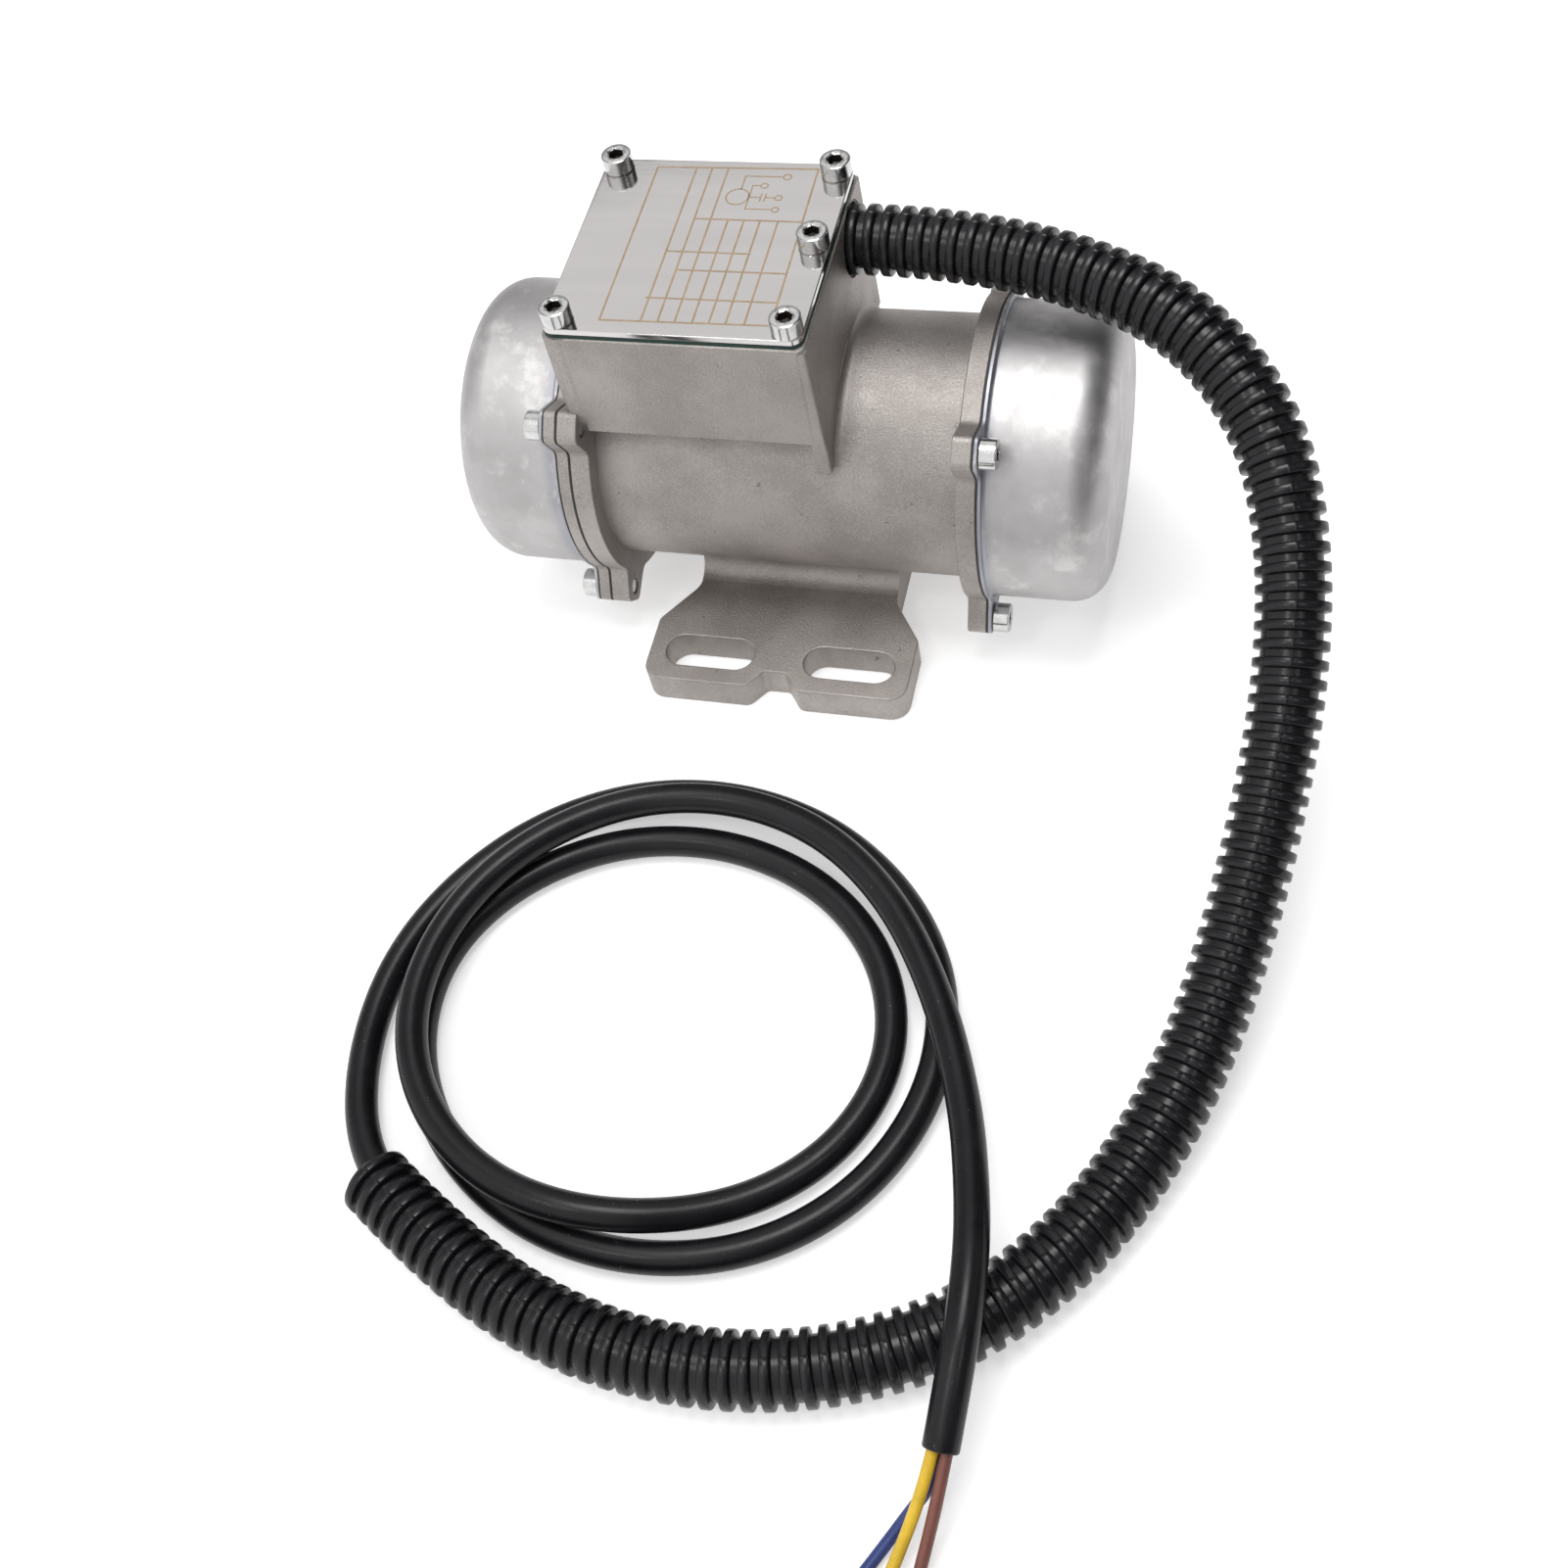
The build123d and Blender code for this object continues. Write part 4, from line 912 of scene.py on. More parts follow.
@dataclass
class Studio:
    """Camera, floor, surroundings and soft lamps, in metres.

    The floor's lift is how much light it gives to rays from the camera, from the nearer distance to
    the farther. Each fade of the surroundings names the axis of the direction, where the fade starts
    and ends along it, and the brightness at both.
    """

    place: tuple[float, float, float] = (0.115517, -0.298088, 0.362210)
    right: tuple[float, float, float] = (0.963084, 0.223453, -0.150125)
    up: tuple[float, float, float] = (-0.107715, 0.830952, 0.545817)
    back: tuple[float, float, float] = (0.246711, -0.509497, 0.824346)
    lens: float = 42.025
    sensor: float = 36.0
    reach: float = 3.0
    floor_tone: float = 0.86
    floor_lift: tuple[float, float, float, float] = (0.4, 1.6, 0.46, 1.1)
    floor_reflected: float = 0.30
    fades: tuple = (("X", (-0.10, 0.40, 1.0, 0.12)), ("Y", (-0.20, 0.20, 1.05, 0.42)))
    target: tuple[float, float, float] = (0.0, -0.05, 0.03)
    lamps: tuple[Lamp, ...] = (
        Lamp("overhead", (0.0, 0.0, 1.20), 0.50, 6.0),
        Lamp("key", (-0.30, -0.55, 1.00), 0.14, 0.75),
        Lamp("second", (0.62, -0.42, 0.95), 0.14, 0.5),
        Lamp("panel", (-0.30, 0.61, 1.09), 0.90, 1.15),
        Lamp("right", (0.90, 0.20, 0.70), 0.50, 0.3),
    )

    def build_camera(self) -> None:
        """Camera at the photograph's place, with its axes as the columns of its matrix."""
        data = bpy.data.cameras.new("camera")
        data.lens = self.lens
        data.sensor_width = self.sensor
        data.clip_start = 0.01
        data.clip_end = 50.0
        camera = linked("camera", data)
        turn = Matrix((self.right, self.up, self.back)).transposed().to_4x4()
        camera.matrix_world = Matrix.Translation(self.place) @ turn
        bpy.context.scene.camera = camera

    def build_floor(self) -> None:
        """Pale floor that keeps the shadow; the camera and reflections see it lifted towards white."""
        mesh = bpy.data.meshes.new("floor")
        corners = [(-1, -1), (1, -1), (1, 1), (-1, 1)]
        mesh.from_pydata([(x * self.reach, y * self.reach, 0) for x, y in corners], [], [(0, 1, 2, 3)])
        floor = linked("floor", mesh)
        white = bpy.data.materials.new("white_floor")
        white.use_nodes = True
        tree = white.node_tree
        tree.nodes.remove(tree.nodes["Principled BSDF"])
        rays = tree.nodes.new("ShaderNodeLightPath").outputs
        place = tree.nodes.new("ShaderNodeTexCoord").outputs["Object"]
        away = node(tree, "VectorMath", {0: place}, operation="LENGTH").outputs["Value"]
        seen = mapped(tree, away, self.floor_lift)
        reflected = calculated(tree, "MULTIPLY", rays["Is Glossy Ray"], self.floor_reflected)
        amount = calculated(tree, "MULTIPLY_ADD", rays["Is Camera Ray"], seen, reflected)
        matt = node(tree, "BsdfDiffuse", {"Color": (*[self.floor_tone] * 3, 1)})
        lift = node(tree, "Emission", {"Strength": amount})
        both = node(tree, "AddShader", {0: matt.outputs[0], 1: lift.outputs[0]})
        tree.links.new(both.outputs[0], tree.nodes["Material Output"].inputs["Surface"])
        mesh.materials.append(white)

    def build_world(self) -> None:
        """Surroundings: white for the camera, for all else a room that is bright at the front left."""
        world = bpy.data.worlds.new("room")
        bpy.context.scene.world = world
        world.use_nodes = True
        tree = world.node_tree
        direction = tree.nodes.new("ShaderNodeTexCoord").outputs["Generated"]
        split = node(tree, "SeparateXYZ", {0: direction}).outputs
        fades = [mapped(tree, split[axis], limits, "SMOOTHSTEP") for axis, limits in self.fades]
        room = calculated(tree, "MULTIPLY", *fades)
        camera_ray = tree.nodes.new("ShaderNodeLightPath").outputs["Is Camera Ray"]
        back = tree.nodes["Background"]
        tree.links.new(mixed(tree, camera_ray, room, (1, 1, 1)), back.inputs["Color"])
        back.inputs["Strength"].default_value = 1.0

    def build(self) -> None:
        """Floor, surroundings and the five lamps: two broad ones above, one at the right, two small."""
        self.build_floor()
        self.build_world()
        for lamp in self.lamps:
            lamp.build(self.target)


@dataclass
class Route:
    """Smooth line of a cord, read from its own spline, with a frame that never rolls over.

    The side vector is the tangent crossed with the upright, and the second is the side crossed with
    the tangent, so a point at angle a lies at centre + r (cos a side + sin a second).
    """

    name: str
    controls: list
    places: np.ndarray = field(default_factory=lambda: np.zeros((0, 3)))
    lengths: np.ndarray = field(default_factory=lambda: np.zeros(0))

    def read(self, fineness: int = 14) -> "Route":
        """Makes the spline and reads its line as points.

        Args:
            fineness: Points of the line for each point of the route.

        Returns:
            The route itself.
        """
        line = bpy.data.curves.new(self.name + "_line", "CURVE")
        line.dimensions = "3D"
        line.resolution_u = fineness
        spline = line.splines.new("NURBS")
        spline.points.add(len(self.controls) - 1)
        for point, place in zip(spline.points, self.controls):
            point.co = (*place, 1.0)
        spline.order_u = 3
        spline.use_endpoint_u = True
        holder = linked(self.name + "_line", line)
        mesh = final_mesh(holder)
        flat = np.zeros(3 * len(mesh.vertices))
        mesh.vertices.foreach_get("co", flat)
        self.places = flat.reshape(-1, 3)
        steps = np.linalg.norm(np.diff(self.places, axis=0), axis=1)
        self.lengths = np.concatenate([[0.0], np.cumsum(steps)])
        bpy.data.objects.remove(holder)
        bpy.data.curves.remove(line)
        bpy.data.meshes.remove(mesh)
        return self

    @property
    def length(self) -> float:
        """Length of the line in metres."""
        return float(self.lengths[-1])

    def at(self, distance: np.ndarray) -> tuple[np.ndarray, np.ndarray, np.ndarray, np.ndarray]:
        """Centres and frames at distances along the line.

        Args:
            distance: Distances in metres.

        Returns:
            Centre, tangent, side and second vector for each.
        """
        def point(s: np.ndarray) -> np.ndarray:
            """Centres at the distances s, between the line's points in proportion."""
            return np.stack([np.interp(s, self.lengths, self.places[:, k]) for k in range(3)], -1)

        reach = 0.0015
        ahead = point(np.clip(distance + reach, 0, self.length))
        behind = point(np.clip(distance - reach, 0, self.length))
        tangent = ahead - behind
        tangent /= np.linalg.norm(tangent, axis=1, keepdims=True)
        side = np.cross(tangent, np.array([0.0, 0.0, 1.0]))
        side /= np.linalg.norm(side, axis=1, keepdims=True)
        return point(distance), tangent, side, np.cross(side, tangent)

    def sleeve(self, distance: np.ndarray, radius: np.ndarray, angle: np.ndarray, hollow: bool) -> Shell:
        """Tube whose radius is given row by row and angle by angle.

        Args:
            distance: Distance of each ring along the line, in metres.
            radius: Radii in metres, of shape (rings, 1) or (rings, angles).
            angle: Angles round the line.
            hollow: Whether the last ring joins the first.

        Returns:
            The shell, in millimetres.
        """
        centre, _, side, second = self.at(distance)
        across = np.cos(angle)[None, :, None] * side[:, None, :]
        ring = across + np.sin(angle)[None, :, None] * second[:, None, :]
        reach = np.broadcast_to(radius, (len(distance), len(angle)))[:, :, None]
        grid = centre[:, None, :] + reach * ring
        return ring_surface(grid / MM, close_rows=hollow)


@dataclass
class Cords:
    """Corrugated conduit, the cable inside and after it, and the three cores at its end."""

    pitch: float = 3.9
    crest: float = 7.9
    groove: float = 6.4
    conduit_bore: float = 5.9
    cable_radius: float = 3.6
    sheath_bore: float = 2.75
    core_radius: float = 1.225
    strand_radius: float = 0.245
    strand_circle: float = 0.50
    strand_twist: float = 0.55
    stripped: float = 7.0
    seam: float = 0.11

    def build_conduit(self) -> bpy.types.Object:
        """Corrugated tube: square-shouldered rings with a fine seam across each.

        Within a pitch the radius steps from the groove up a rounded shoulder to the crest and down
        again, and a narrow ridge at two opposite angles is the seam left by the mould halves.

        Returns:
            The object.
        """
        route = Route("conduit_line", CONDUIT_ROUTE).read()
        shape = np.array([
            (0.70, 0.02), (0.86, 0.22), (0.93, 0.70), (1.02, 0.91), (1.22, 1.0),
            (2.68, 1.0), (2.88, 0.91), (2.97, 0.70), (3.04, 0.22), (3.20, 0.02),
        ])
        rings = int(route.length / MM / self.pitch)
        pitch = route.length / rings
        s = (np.arange(rings)[:, None] + shape[None, :, 0] / self.pitch) * pitch
        lift = np.tile(shape[:, 1], rings)
        radius = (self.groove + (self.crest - self.groove) * lift) * MM
        seams = np.radians([88.6, 90.0, 91.4, 268.6, 270.0, 271.4])
        angle = np.unique(np.concatenate([np.radians(np.arange(0, 360, 9.0) + 4.5), seams]))
        ridge = np.isin(angle, seams[[1, 4]]) * self.seam * MM
        outer = radius[:, None] + ridge[None, :] * (lift[:, None] > 0.9) - self.seam * MM
        inner_s = np.linspace(route.length, 0, rings)
        inner = np.full((rings, len(angle)), self.conduit_bore * MM)
        distance = np.concatenate([[0.0], s.ravel(), [route.length], inner_s])
        groove = np.full((1, len(angle)), self.groove * MM)
        tube = route.sleeve(distance, np.concatenate([groove, outer, groove, inner]), angle, hollow=True)
        sleeve = tube.build("conduit_sleeve", 50.0, weighted=False)
        piece = dress(sleeve, CONDUIT, ["conduit"])
        return piece

    def build_cable(self) -> bpy.types.Object:
        """Round cable whose cut end shows the sheath's wall.

        Returns:
            The object.
        """
        controls = [CABLE_START] + CONDUIT_ROUTE[1:-1] + CABLE_LOOPS
        route = Route("cable_line", controls).read()
        rows = np.linspace(0, route.length - 0.0005, 640)
        distance = np.concatenate([rows, route.length - np.array([0.0002, 0, 0, 0.0003, 0.007])])
        outside, bore = self.cable_radius, self.sheath_bore
        edge = np.array([outside - 0.05, outside - 0.2, bore + 0.12, bore, bore])
        radius = np.concatenate([np.full(len(rows), self.cable_radius), edge]) * MM
        angle = full_turn(32)
        tube = route.sleeve(distance, radius[:, None], angle, hollow=False)
        piece = dress(tube.build("cable_sheath", 50.0, weighted=False), CABLE, ["cable"])
        return piece

    def build_core(self, colour: CoreColour) -> bpy.types.Object:
        """One insulated core from inside the sheath to its stripped end, with its strands.

        Args:
            colour: Which core.

        Returns:
            The insulation.
        """
        name = "core_" + colour.name.lower()
        route = Route(name + "_line", CORE_ROUTES[name]).read(24)
        rows = np.linspace(0, route.length - 0.0002, 60)
        distance = np.concatenate([rows, [route.length - 0.00005, route.length, route.length]])
        edge = [self.core_radius - 0.06, self.core_radius - 0.2, 0.8]
        radius = np.concatenate([np.full(len(rows), self.core_radius), edge]) * MM
        angle = full_turn(24)
        tube = route.sleeve(distance, radius[:, None], angle, hollow=False)
        insulation = tube.build(name + "_insulation", 50.0, weighted=False)
        piece = dress(insulation, core_finish(colour), [name])
        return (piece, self.build_strands(name, route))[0]

    def build_strands(self, core: str, route: Route) -> bpy.types.Object:
        """Twisted copper strands beyond a core: one straight wire and six that wind round it.

        A strand's centre at distance s is the core's end + s t + q (cos b side + sin b second), where
        b grows with s.

        Args:
            core: The core's name.
            route: Its route.

        Returns:
            The object.
        """
        shells = []
        s = np.linspace(-0.5, self.stripped, 24) * MM
        angle = full_turn(8)
        centre, tangent, side, second = (v[0] for v in route.at(np.array([route.length])))
        for wire in range(7):
            offset = 0.0 if wire == 6 else self.strand_circle * MM
            turn = wire * np.pi / 3 + s / MM * self.strand_twist
            swing = offset * (np.cos(turn)[:, None] * side + np.sin(turn)[:, None] * second)
            line = centre + s[:, None] * tangent + swing
            round_wire = np.cos(angle)[:, None] * side + np.sin(angle)[:, None] * second
            grid = line[:, None, :] + self.strand_radius * MM * round_wire[None, :, :]
            shells.append(ring_surface(grid / MM))
        strands = Shell.joined(shells).build(core + "_strands", 60.0, weighted=False)
        return dress(strands, COPPER, ["core_conductors"])

    def build(self) -> None:
        """All cords, the thickest first."""
        self.build_conduit()
        self.build_cable()
        lengths = {CoreColour.YELLOW: 0.0427, CoreColour.BROWN: 0.0420, CoreColour.BLUE: 0.0389}
        for colour, length in lengths.items():
            self.build_core(colour)


@dataclass
class Housing:
    """One-piece casting: tube, flanges, foot with its saddle, and the open terminal box."""

    tube: float = 30.75
    bore: float = 27.4
    left: float = -45.4
    right: float = 49.9
    left_flange: float = -40.6
    right_flange: float = 45.4
    box_left: float = -43.6
    box_right: float = 15.8
    box_half: float = 28.5
    box_bottom: float = 68.6
    box_rim: float = 96.6
    box_floor: float = 73.8
    wall: float = 3.0
    end_wall: float = 2.4
    fin_bottom: float = 58.5
    draft: float = 1.1
    boss: float = 3.9
    bush_hole: float = 8.5
    hub: float = 16.0
    bearing_seat: float = 19.5
    hub_left: float = 38.4

    def tube_shell(self) -> Shell:
        """Tube with the bearing hub at its right end, as a closed ring profile.

        Returns:
            The shell.
        """
        profile = [
            (self.left, self.bore), (self.left, self.tube), (self.right, self.tube), (self.right, 8.5),
            (48.4, 8.5), (48.4, self.hub), (self.hub_left, self.hub), (self.hub_left, self.bearing_seat),
            (self.right_flange, self.bearing_seat), (self.right_flange, self.bore),
        ]
        return turned(profile, 144)

    def foot_shell(self) -> Shell:
        """Foot plate: waist, two broad pads on each side of a notch, and four long slots.

        Returns:
            The shell.
        """
        quarter = [
            (25.5, 23.0, 6.0), (33.3, 34.5, 2.4), (33.3, 52.8, 4.6), (6.5, 52.8, 2.4), (2.8, 47.8, 1.6),
        ]
        back = quarter + [(-x, y, r) for x, y, r in reversed(quarter)]
        front = [(-x, -y, r) for x, y, r in quarter] + [(x, -y, r) for x, y, r in reversed(quarter)]
        outline = rounded(back + front, 8)
        half_long, half_wide, corner = 11.3, 4.6, 4.59
        slots = [
            rectangle((x - half_long, x + half_long), (y - half_wide, y + half_wide), (corner, corner), 10)
            for x in (-17.7, 17.7) for y in (-43.5, 43.5)
        ]
        return drawn_out([outline] + slots, 0.0, 8.5, 0.4, Axis.UPRIGHT, steps=3)

    def blended_web(self, level: float, fillet: float, below: bool, start: float, end: float) -> Shell:
        """Metal between the tube and a flat face, with a concave fillet on both sides.

        The fillet's circle touches the tube's circle and the flat face: its centre lies at the level
        one radius off the face, at the distance tube radius + fillet radius from the shaft.

        Args:
            level: Height of the flat face above the shaft, negative below it.
            fillet: Radius of the fillets.
            below: Whether the face lies below the shaft.
            start: Left end along the shaft.
            end: Right end along the shaft.

        Returns:
            The shell.
        """
        sign = -1 if below else 1
        rise = sign * level - fillet
        reach = self.tube + fillet
        out = math.sqrt(reach**2 - rise**2)
        inward = math.degrees(math.atan2(-rise, -out))
        curve = arc((out, rise), fillet, inward + 360, 90, 10)
        sink = sign * level + (4.2 if below else 0.5)
        right = np.concatenate([[(curve[0][0] - 3, curve[0][1] - 1.5)], curve, [(out, sink)]])
        outline = np.concatenate([right, (right * [-1, 1])[::-1]]) * [1, sign]
        return drawn_out([outline], start, end, 0.15, Axis.ALONG_SHAFT, steps=1)

    def fin_shells(self) -> list[Shell]:
        """End wall that thickens on its way down into two fins, and the fillet at the tube.

        The wall is a stack of plan outlines whose right side moves out in proportion to the drop below
        the rim. The fillet's section, a square less a quarter circle, is carried round the shaft.

        Returns:
            The wall and the fillet.
        """
        drop = self.box_rim - 1 - self.fin_bottom

        def loop(z: float, inset: float) -> np.ndarray:
            """The wall's plan outline at the height z, drawn in by the inset."""
            right = self.box_right + self.draft * (self.box_rim - 1 - z) / drop - inset
            left = 13.45 if z < self.box_bottom + 0.5 else 14.3
            half = (28.2 if z < self.box_bottom else 28.47) - inset
            outline = rectangle((left, right), (-half, half), (0.1, 1.0), 7)
            return np.concatenate([outline, np.full((len(outline), 1), z)], 1)

        low = self.fin_bottom
        levels = [(low, 0.9), (low + 0.15, 0.5), (low + 0.5, 0.18), (low + 1.1, 0.0)]
        levels += [(z, 0.0) for z in (68.55, 68.65, 69.05, 69.15, self.box_rim - 1)]
        wall = ring_surface(np.stack([loop(z, inset) for z, inset in levels]))
        size = 2.0
        foot_x = self.box_right + self.draft * (self.box_rim - SHAFT_HEIGHT - self.tube) / drop
        curve = arc((foot_x + size, self.tube + size), size, 270, 180, 10)
        inside = [(foot_x - 1, self.tube + size), (foot_x - 1, self.tube - 1), (foot_x + size, self.tube - 1)]
        section = np.concatenate([curve, inside])
        turn = np.radians(np.linspace(35.2, 144.8, 80))
        x = np.broadcast_to(section[None, :, 0], (len(turn), len(section)))
        y = section[None, :, 1] * np.cos(turn)[:, None]
        z = SHAFT_HEIGHT + section[None, :, 1] * np.sin(turn)[:, None]
        return [wall, ring_surface(np.stack([x, y, z], -1))]

    def box_shell(self) -> Shell:
        """Open box: a rounded rectangle carried up the outside, over the rim and down the inside.

        Returns:
            The shell.
        """
        def loop(inset: float, corner: float, z: float, thinner: float = 0.0) -> np.ndarray:
            """The box's outline at z, drawn in by the inset, its right wall thinner by that much."""
            left = self.box_left + inset
            right = self.box_right - inset + thinner
            half = self.box_half - inset
            outline = rectangle((left, right), (-half, half), (corner, corner), 9)
            return np.concatenate([outline, np.full((len(outline), 1), z)], 1)

        ends = self.wall - self.end_wall
        rows = [
            loop(0.25, 2.3, self.box_bottom), loop(0, 2.5, self.box_bottom + 0.25),
            loop(0, 2.5, self.box_rim - 0.5), loop(0.12, 2.4, self.box_rim - 0.22),
            loop(0.5, 2.0, self.box_rim),
            loop(self.wall, 1.25, self.box_rim, ends), loop(self.wall, 1.25, self.box_floor, ends),
        ]
        return ring_surface(np.stack(rows))

    def bosses(self) -> list[Shell]:
        """Round bosses that take the lid's screws, each with its hole.

        Returns:
            A shell for each boss.
        """
        places = [(-39.6, -24.8), (-39.6, 24.8), (11.75, 1.44), (11.8, -24.3), (11.8, 24.3)]
        shells = []
        for x, y in places:
            loops = [circle((x, y), self.boss, 36), circle((x, y), SCREW_HOLE, 18)]
            low, high = self.box_floor - 0.5, self.box_rim - 0.02
            shells.append(drawn_out(loops, low, high, 0.05, Axis.UPRIGHT, steps=1))
        return shells

    def spaces(self) -> list[Shell]:
        """What is cut from the finished body: the bore, the left flange's holes and the bush's hole.

        Returns:
            The shells to take away, in that order.
        """
        left = self.left - 1
        bore = turned([
            (left, 0.5), (left, self.bore), (self.right_flange, self.bore),
            (self.right_flange, self.bearing_seat), (self.hub_left, self.bearing_seat), (self.hub_left, 0.5),
        ], 144)
        bolts = [
            drawn_out([hole], left, self.left_flange + 1.6, 0.02, Axis.ALONG_SHAFT, steps=1)
            for hole in lug_holes()
        ]
        hole = circle(BUSH_PLACE, self.bush_hole, 72)
        bush = drawn_out([hole], 13.0, 20.0, 0.02, Axis.ALONG_SHAFT, steps=1)
        return [bore] + bolts + [bush]

    def build(self) -> None:
        """The casting as one body."""
        parts = [
            self.tube_shell(),
            drawn_out(lugged(self.bore), self.left, self.left_flange, 0.3, Axis.ALONG_SHAFT),
            drawn_out(lugged(20.0), self.right_flange, self.right, 0.3, Axis.ALONG_SHAFT),
            self.blended_web(-32.5, 4.4, True, -25.5, 25.5),
            self.foot_shell(),
            self.blended_web(27.6, 2.5, False, -41.0, self.box_right - 0.1),
            self.box_shell(),
        ] + self.fin_shells() + self.bosses()
        dress(united("motor_casting", parts, self.spaces()), CASTING, ["motor_housing"])


@dataclass
class EndCover:
    """Deep-drawn cup with a thin lugged flange."""

    side: Side
    face: float
    radius: float = 34.55
    length: float = 27.6
    wall: float = 1.2
    corner: float = 8.5
    flange: float = 0.8
    flare: float = 0.9
    flat: float = 6.0

    def build(self) -> None:
        """Cup profile from the inner end, along the inside, over the open edge and back outside."""
        sign = self.side.value
        end = self.length
        centre = (end - self.corner, self.radius - self.corner)
        inside = arc(centre, self.corner - self.wall, 0, 90, 12)
        outside = arc(centre, self.corner, 90, 0, 18)
        flare = arc((self.flange + self.flare, self.radius + self.flare), self.flare, 180, 270, 6)
        profile = np.concatenate([
            [(end - self.wall, self.flat)], inside, [(0.0, self.radius - self.wall)],
            [(0.0, self.radius + self.flare)], flare, outside, [(end, self.flat)],
        ])
        profile[:, 0] = self.face + sign * profile[:, 0]
        cup = turned(profile, 160, hollow=False)
        start, finish = sorted([self.face, self.face + sign * self.flange])
        opening = self.radius - self.wall + 0.02
        plate = drawn_out(lugged(opening), start, finish, 0.12, Axis.ALONG_SHAFT)
        name = f"end_cover_{self.side.label}"
        dress(united(name + "_cup", [cup, plate]), COVER, [name])


@dataclass
class CapScrews:
    """Socket head cap screws, M4."""

    head: float = 3.5
    height: float = 4.0
    shank: float = 2.0
    across_flats: float = 3.0
    dish: float = 2.05
    socket_row: int = 9
    points: int = 48

    def dress_set(self, name: str, shells: Sequence[Shell], replaced: str) -> None:
        """One object from several screws, with painted shade, a near-black finish, inside their sockets.

        Rows of faces from the socket's edge onwards, and the last cap, lie in the socket.

        Args:
            name: Name of the object.
            shells: The screws.
            replaced: The solid that they stand for.
        """
        piece = dress(Shell.joined(shells).build(name, 30.0), SCREW, [replaced])
        # The socket's rows get a second, near-black material: painted shade inside the sockets.
        piece.data.materials.append(SOCKET_SHADE.material())
        each = len(shells[0].faces)
        inside = np.arange(each) >= self.socket_row * self.points
        inside[-2] = False
        piece.data.polygons.foreach_set("material_index", np.tile(inside, len(shells)).astype(np.int32))

    def screw(self, length: float) -> Shell:
        """One screw along +Z with its head's underside at Z = 0.

        Every row is a ring with a radius and a height. In the socket the radius is the hexagon's: half
        the width across flats over the cosine of the angle from the middle of the nearest flat.

        Args:
            length: Length of the shank.

        Returns:
            The shell.
        """
        angle = full_turn(self.points)
        hexagon = self.across_flats / 2 / np.cos((angle % (np.pi / 3)) - np.pi / 6)
        rows = [
            (self.shank - 0.4, -length), (self.shank, -length + 0.4), (self.shank, 0.0),
            (self.head - 0.42, 0.0), (self.head, 0.32), (self.head, self.height - 0.38),
            (self.head - 0.10, self.height - 0.16), (self.head - 0.38, self.height),
            (self.dish, self.height), (hexagon + 0.08, self.height - 0.22), (hexagon, self.height - 0.34),
            (hexagon, self.height - 2.1), (0.6 * hexagon, self.height - 2.5),
        ]
        grid = np.stack([
            np.stack([r * np.cos(angle), r * np.sin(angle), np.full(self.points, z)], -1) for r, z in rows
        ])
        return ring_surface(grid)

    def build_cover_screws(self, side: Side, seat: float, tip: float) -> None:
        """Four screws of one end cover.

        Args:
            side: Which end.
            seat: Place of the heads' undersides along the shaft.
            tip: Place of the screws' tips.
        """
        shell = self.screw(abs(seat - tip))
        upright = Matrix.Rotation(side.value * math.pi / 2, 4, "Y")
        screws = []
        for number, a in enumerate(LUG_ANGLES):
            roll = Matrix.Rotation(0.35 + 0.7 * number, 4, "Z")
            y, z = LUG_CIRCLE * math.cos(a), SHAFT_HEIGHT + LUG_CIRCLE * math.sin(a)
            screws.append(shell.moved(Matrix.Translation((seat, y, z)) @ upright @ roll))
        name = f"cover_screws_{side.label}"
        self.dress_set(name + "_set", screws, name)

    def build_lid_screws(self) -> None:
        """The lid's five screws."""
        shell = self.screw(8.0)
        screws = [
            shell.moved(Matrix.Translation((x, y, TerminalBoxLid.top)) @ Matrix.Rotation(turn, 4, "Z"))
            for x, y, turn in LID_SCREWS
        ]
        self.dress_set("lid_screw_set", screws, "lid_screws")


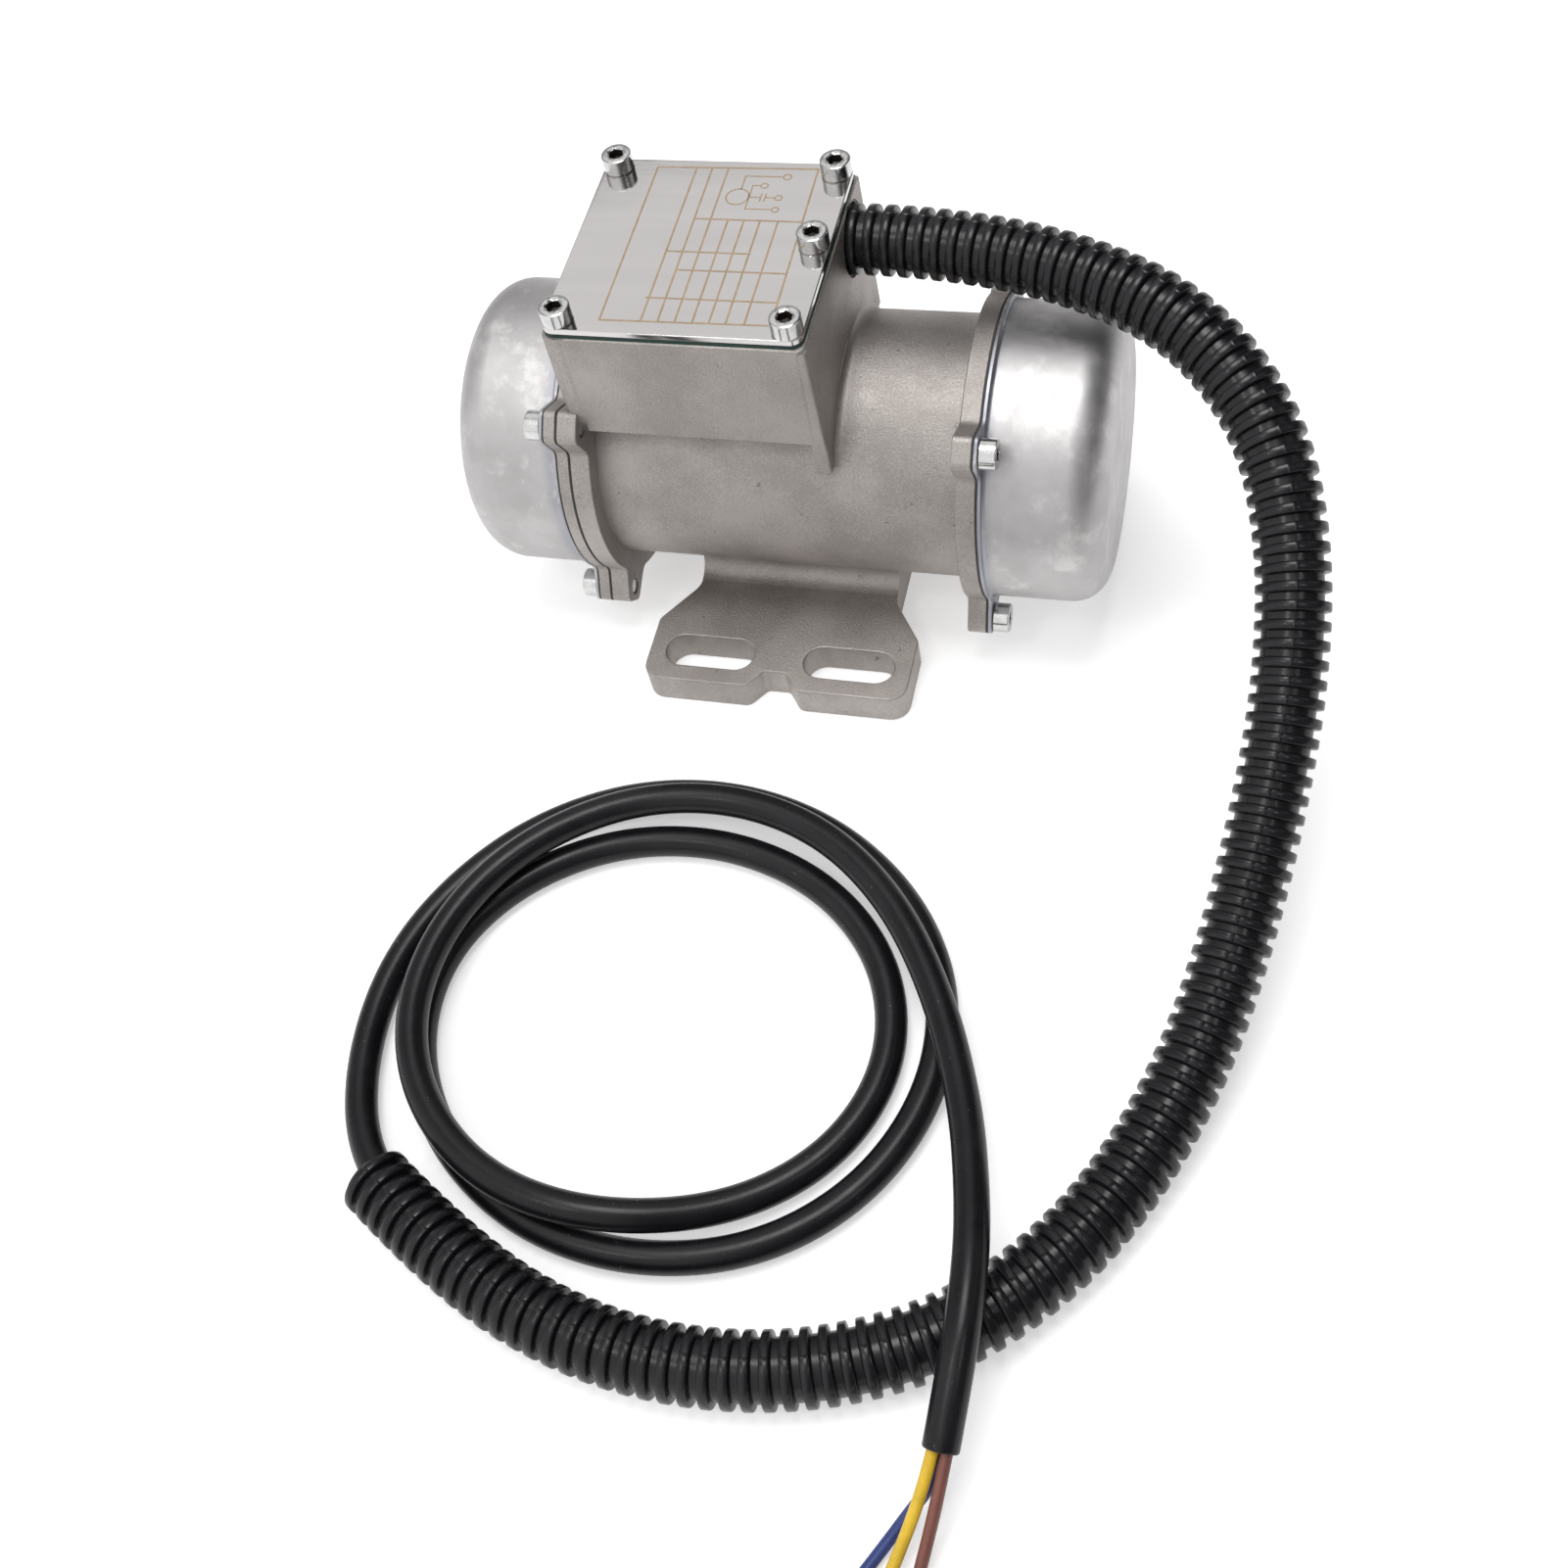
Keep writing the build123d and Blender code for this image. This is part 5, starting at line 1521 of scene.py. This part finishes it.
@dataclass
class TerminalBoxLid:
    """Polished lid with its etched table."""

    left: float = -43.1
    right: float = 15.3
    half: float = 28.0
    corner: float = 2.8
    underside: float = 97.5
    top: float = 99.0
    line: float = 0.45
    wire_line: float = 0.32
    ring_line: float = 0.34
    proud: float = 0.02
    sunk: float = 0.1
    strokes: list = field(default_factory=lambda: [
        ((-30.2, -24.3), (-30.4, 25.4)), ((-30.4, 25.4), (7.3, 26.0)), ((7.3, 26.0), (7.9, -23.7)),
        ((7.9, -23.7), (-30.2, -24.3)), ((-20.9, -24.1), (-21.1, 25.5)), ((-17.1, -24.1), (-17.4, 25.5)),
        ((-13.3, -24.0), (-13.6, 25.6)), ((-9.4, -24.0), (-9.5, 8.5)), ((-5.7, -23.9), (-5.8, 8.5)),
        ((-2.0, -23.9), (-2.1, 8.5)), ((2.1, -23.8), (2.0, 8.5)), ((-21.5, -16.9), (7.8, -16.8)),
        ((-17.1, -8.0), (7.6, -7.9)), ((-20.9, -2.2), (-1.9, -2.2)), ((-17.3, 8.5), (7.4, 8.5)),
    ])
    wiring: list = field(default_factory=lambda: [
        ((-8.9, 18.7), (-8.9, 23.1)), ((-8.9, 23.1), (-0.3, 23.1)), ((-6.5, 12.1), (-6.5, 19.9)),
        ((-6.5, 20.0), (-4.8, 20.0)), ((-6.5, 12.2), (-0.6, 12.2)), ((-6.5, 16.1), (-3.8, 16.1)),
        ((-3.8, 14.9), (-3.8, 17.3)), ((-2.8, 14.9), (-2.8, 17.3)), ((-2.8, 16.1), (-0.6, 16.1)),
    ])
    terminals: list = field(default_factory=lambda: [
        (-9.2, 16.1, 2.6), (0.8, 23.1, 0.9), (-3.8, 20.0, 0.8), (0.3, 16.1, 0.8), (0.4, 12.2, 0.8),
    ])

    def stroke(self, start: tuple[float, float], end: tuple[float, float], width: float) -> Shell:
        """One straight line of the etching as a flat bar, a hair higher where it runs along the shaft.

        Args:
            start: First end.
            end: Last end.
            width: Width of the line.

        Returns:
            The shell.
        """
        a, b = np.array(start), np.array(end)
        along = (b - a) / np.linalg.norm(b - a)
        across = np.array([-along[1], along[0]]) * width / 2
        rise = self.proud + 0.006 * abs(along[0])
        along = along * width / 2
        loop = np.array([a - along - across, b + along - across, b + along + across, a - along + across])
        levels = (self.top - self.sunk, self.top + rise)
        rows = [np.concatenate([loop, np.full((4, 1), z)], 1) for z in levels]
        return ring_surface(np.stack(rows))

    def ring(self, x: float, y: float, radius: float, width: float) -> Shell:
        """One small ring of the etching.

        Args:
            x: Its centre along the shaft.
            y: Its centre across the shaft.
            radius: Its radius.
            width: Width of its line.

        Returns:
            The shell.
        """
        inner, outer = radius - width / 2, radius + width / 2
        low, high = self.top - self.sunk, self.top + self.proud
        rows = []
        for r, z in [(inner, low), (outer, low), (outer, high), (inner, high)]:
            line = circle((x, y), r, 36)
            rows.append(np.concatenate([line, np.full((len(line), 1), z)], 1))
        return ring_surface(np.stack(rows), close_rows=True)

    def build(self) -> None:
        """Lid plate with its screw holes, and the etched table and circuit as a piece of their own."""
        corners = (self.corner, self.corner)
        outline = rectangle((self.left, self.right), (-self.half, self.half), corners, 10)
        holes = [circle((x, y), SCREW_HOLE, 18) for x, y, _ in LID_SCREWS]
        plate = drawn_out([outline] + holes, self.underside, self.top, 0.25, Axis.UPRIGHT, steps=3)
        dress(plate.build("box_lid_plate", 40.0), LID, ["terminal_box_lid"])
        marks = [self.stroke(a, b, self.line) for a, b in self.strokes]
        marks += [self.stroke(a, b, self.wire_line) for a, b in self.wiring]
        marks += [self.ring(x, y, r, self.ring_line) for x, y, r in self.terminals]
        dress(Shell.joined(marks).build("lid_etching", 40.0, weighted=False), ETCHING)


@dataclass
class ConduitBush:
    """Rubber bush that holds the conduit in the box's end wall."""

    radius: float = 8.45
    socket: float = 7.95
    neck: float = 6.2
    lip: float = 6.9
    bore: float = 3.7

    def build(self) -> None:
        """Round head flush with the wall, its back, the neck and the lip, all with a bore."""
        head, bore = circle(BUSH_PLACE, self.radius, 72), circle(BUSH_PLACE, self.bore, 36)
        socket = circle(BUSH_PLACE, self.socket, 72)
        neck, lip = circle(BUSH_PLACE, self.neck, 45), circle(BUSH_PLACE, self.lip, 45)
        rings = [
            (head, socket, 14.2, 15.75, 0.1), (head, bore, 14.2, 14.75, 0.05),
            (neck, bore, 12.7, 14.3, 0.05), (lip, bore, 11.2, 12.8, 0.3),
        ]
        shell = Shell.joined([
            drawn_out([outer, inner], start, end, edge, Axis.ALONG_SHAFT)
            for outer, inner, start, end, edge in rings
        ])
        dress(shell.build("conduit_bush_rubber", 40.0), BUSH, ["conduit_bush"])


def dress_solids(frame: dict) -> None:
    """Gives every solid of the frame the finish of its material slot.
    """
    slots = {entry["node"]: entry["material_slot"] for entry in frame["record"]["subparts"]}
    for name, solid in frame["nodes"].items():
        finish = SLOT_FINISHES[slots[name]]
        solid.data.materials.clear()
        solid.data.materials.append(finish.material())
    LOG.info("%d solids dressed", len(frame["nodes"]))


def main() -> None:
    """Builds the studio and the object, piece by piece."""
    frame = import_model()
    bpy.context.scene.view_settings.view_transform = "Standard"
    studio = Studio()
    studio.build_camera()
    Cords().build()
    studio.build()
    dress_solids(frame)
    Housing().build()
    EndCover(Side.LEFT, -48.9).build()
    EndCover(Side.RIGHT, 50.3).build()
    screws = CapScrews()
    screws.build_cover_screws(Side.LEFT, -49.7, -41.0)
    screws.build_cover_screws(Side.RIGHT, 51.1, 45.8)
    TerminalBoxLid().build()
    screws.build_lid_screws()
    ConduitBush().build()


if __name__ == "__main__":
    main()
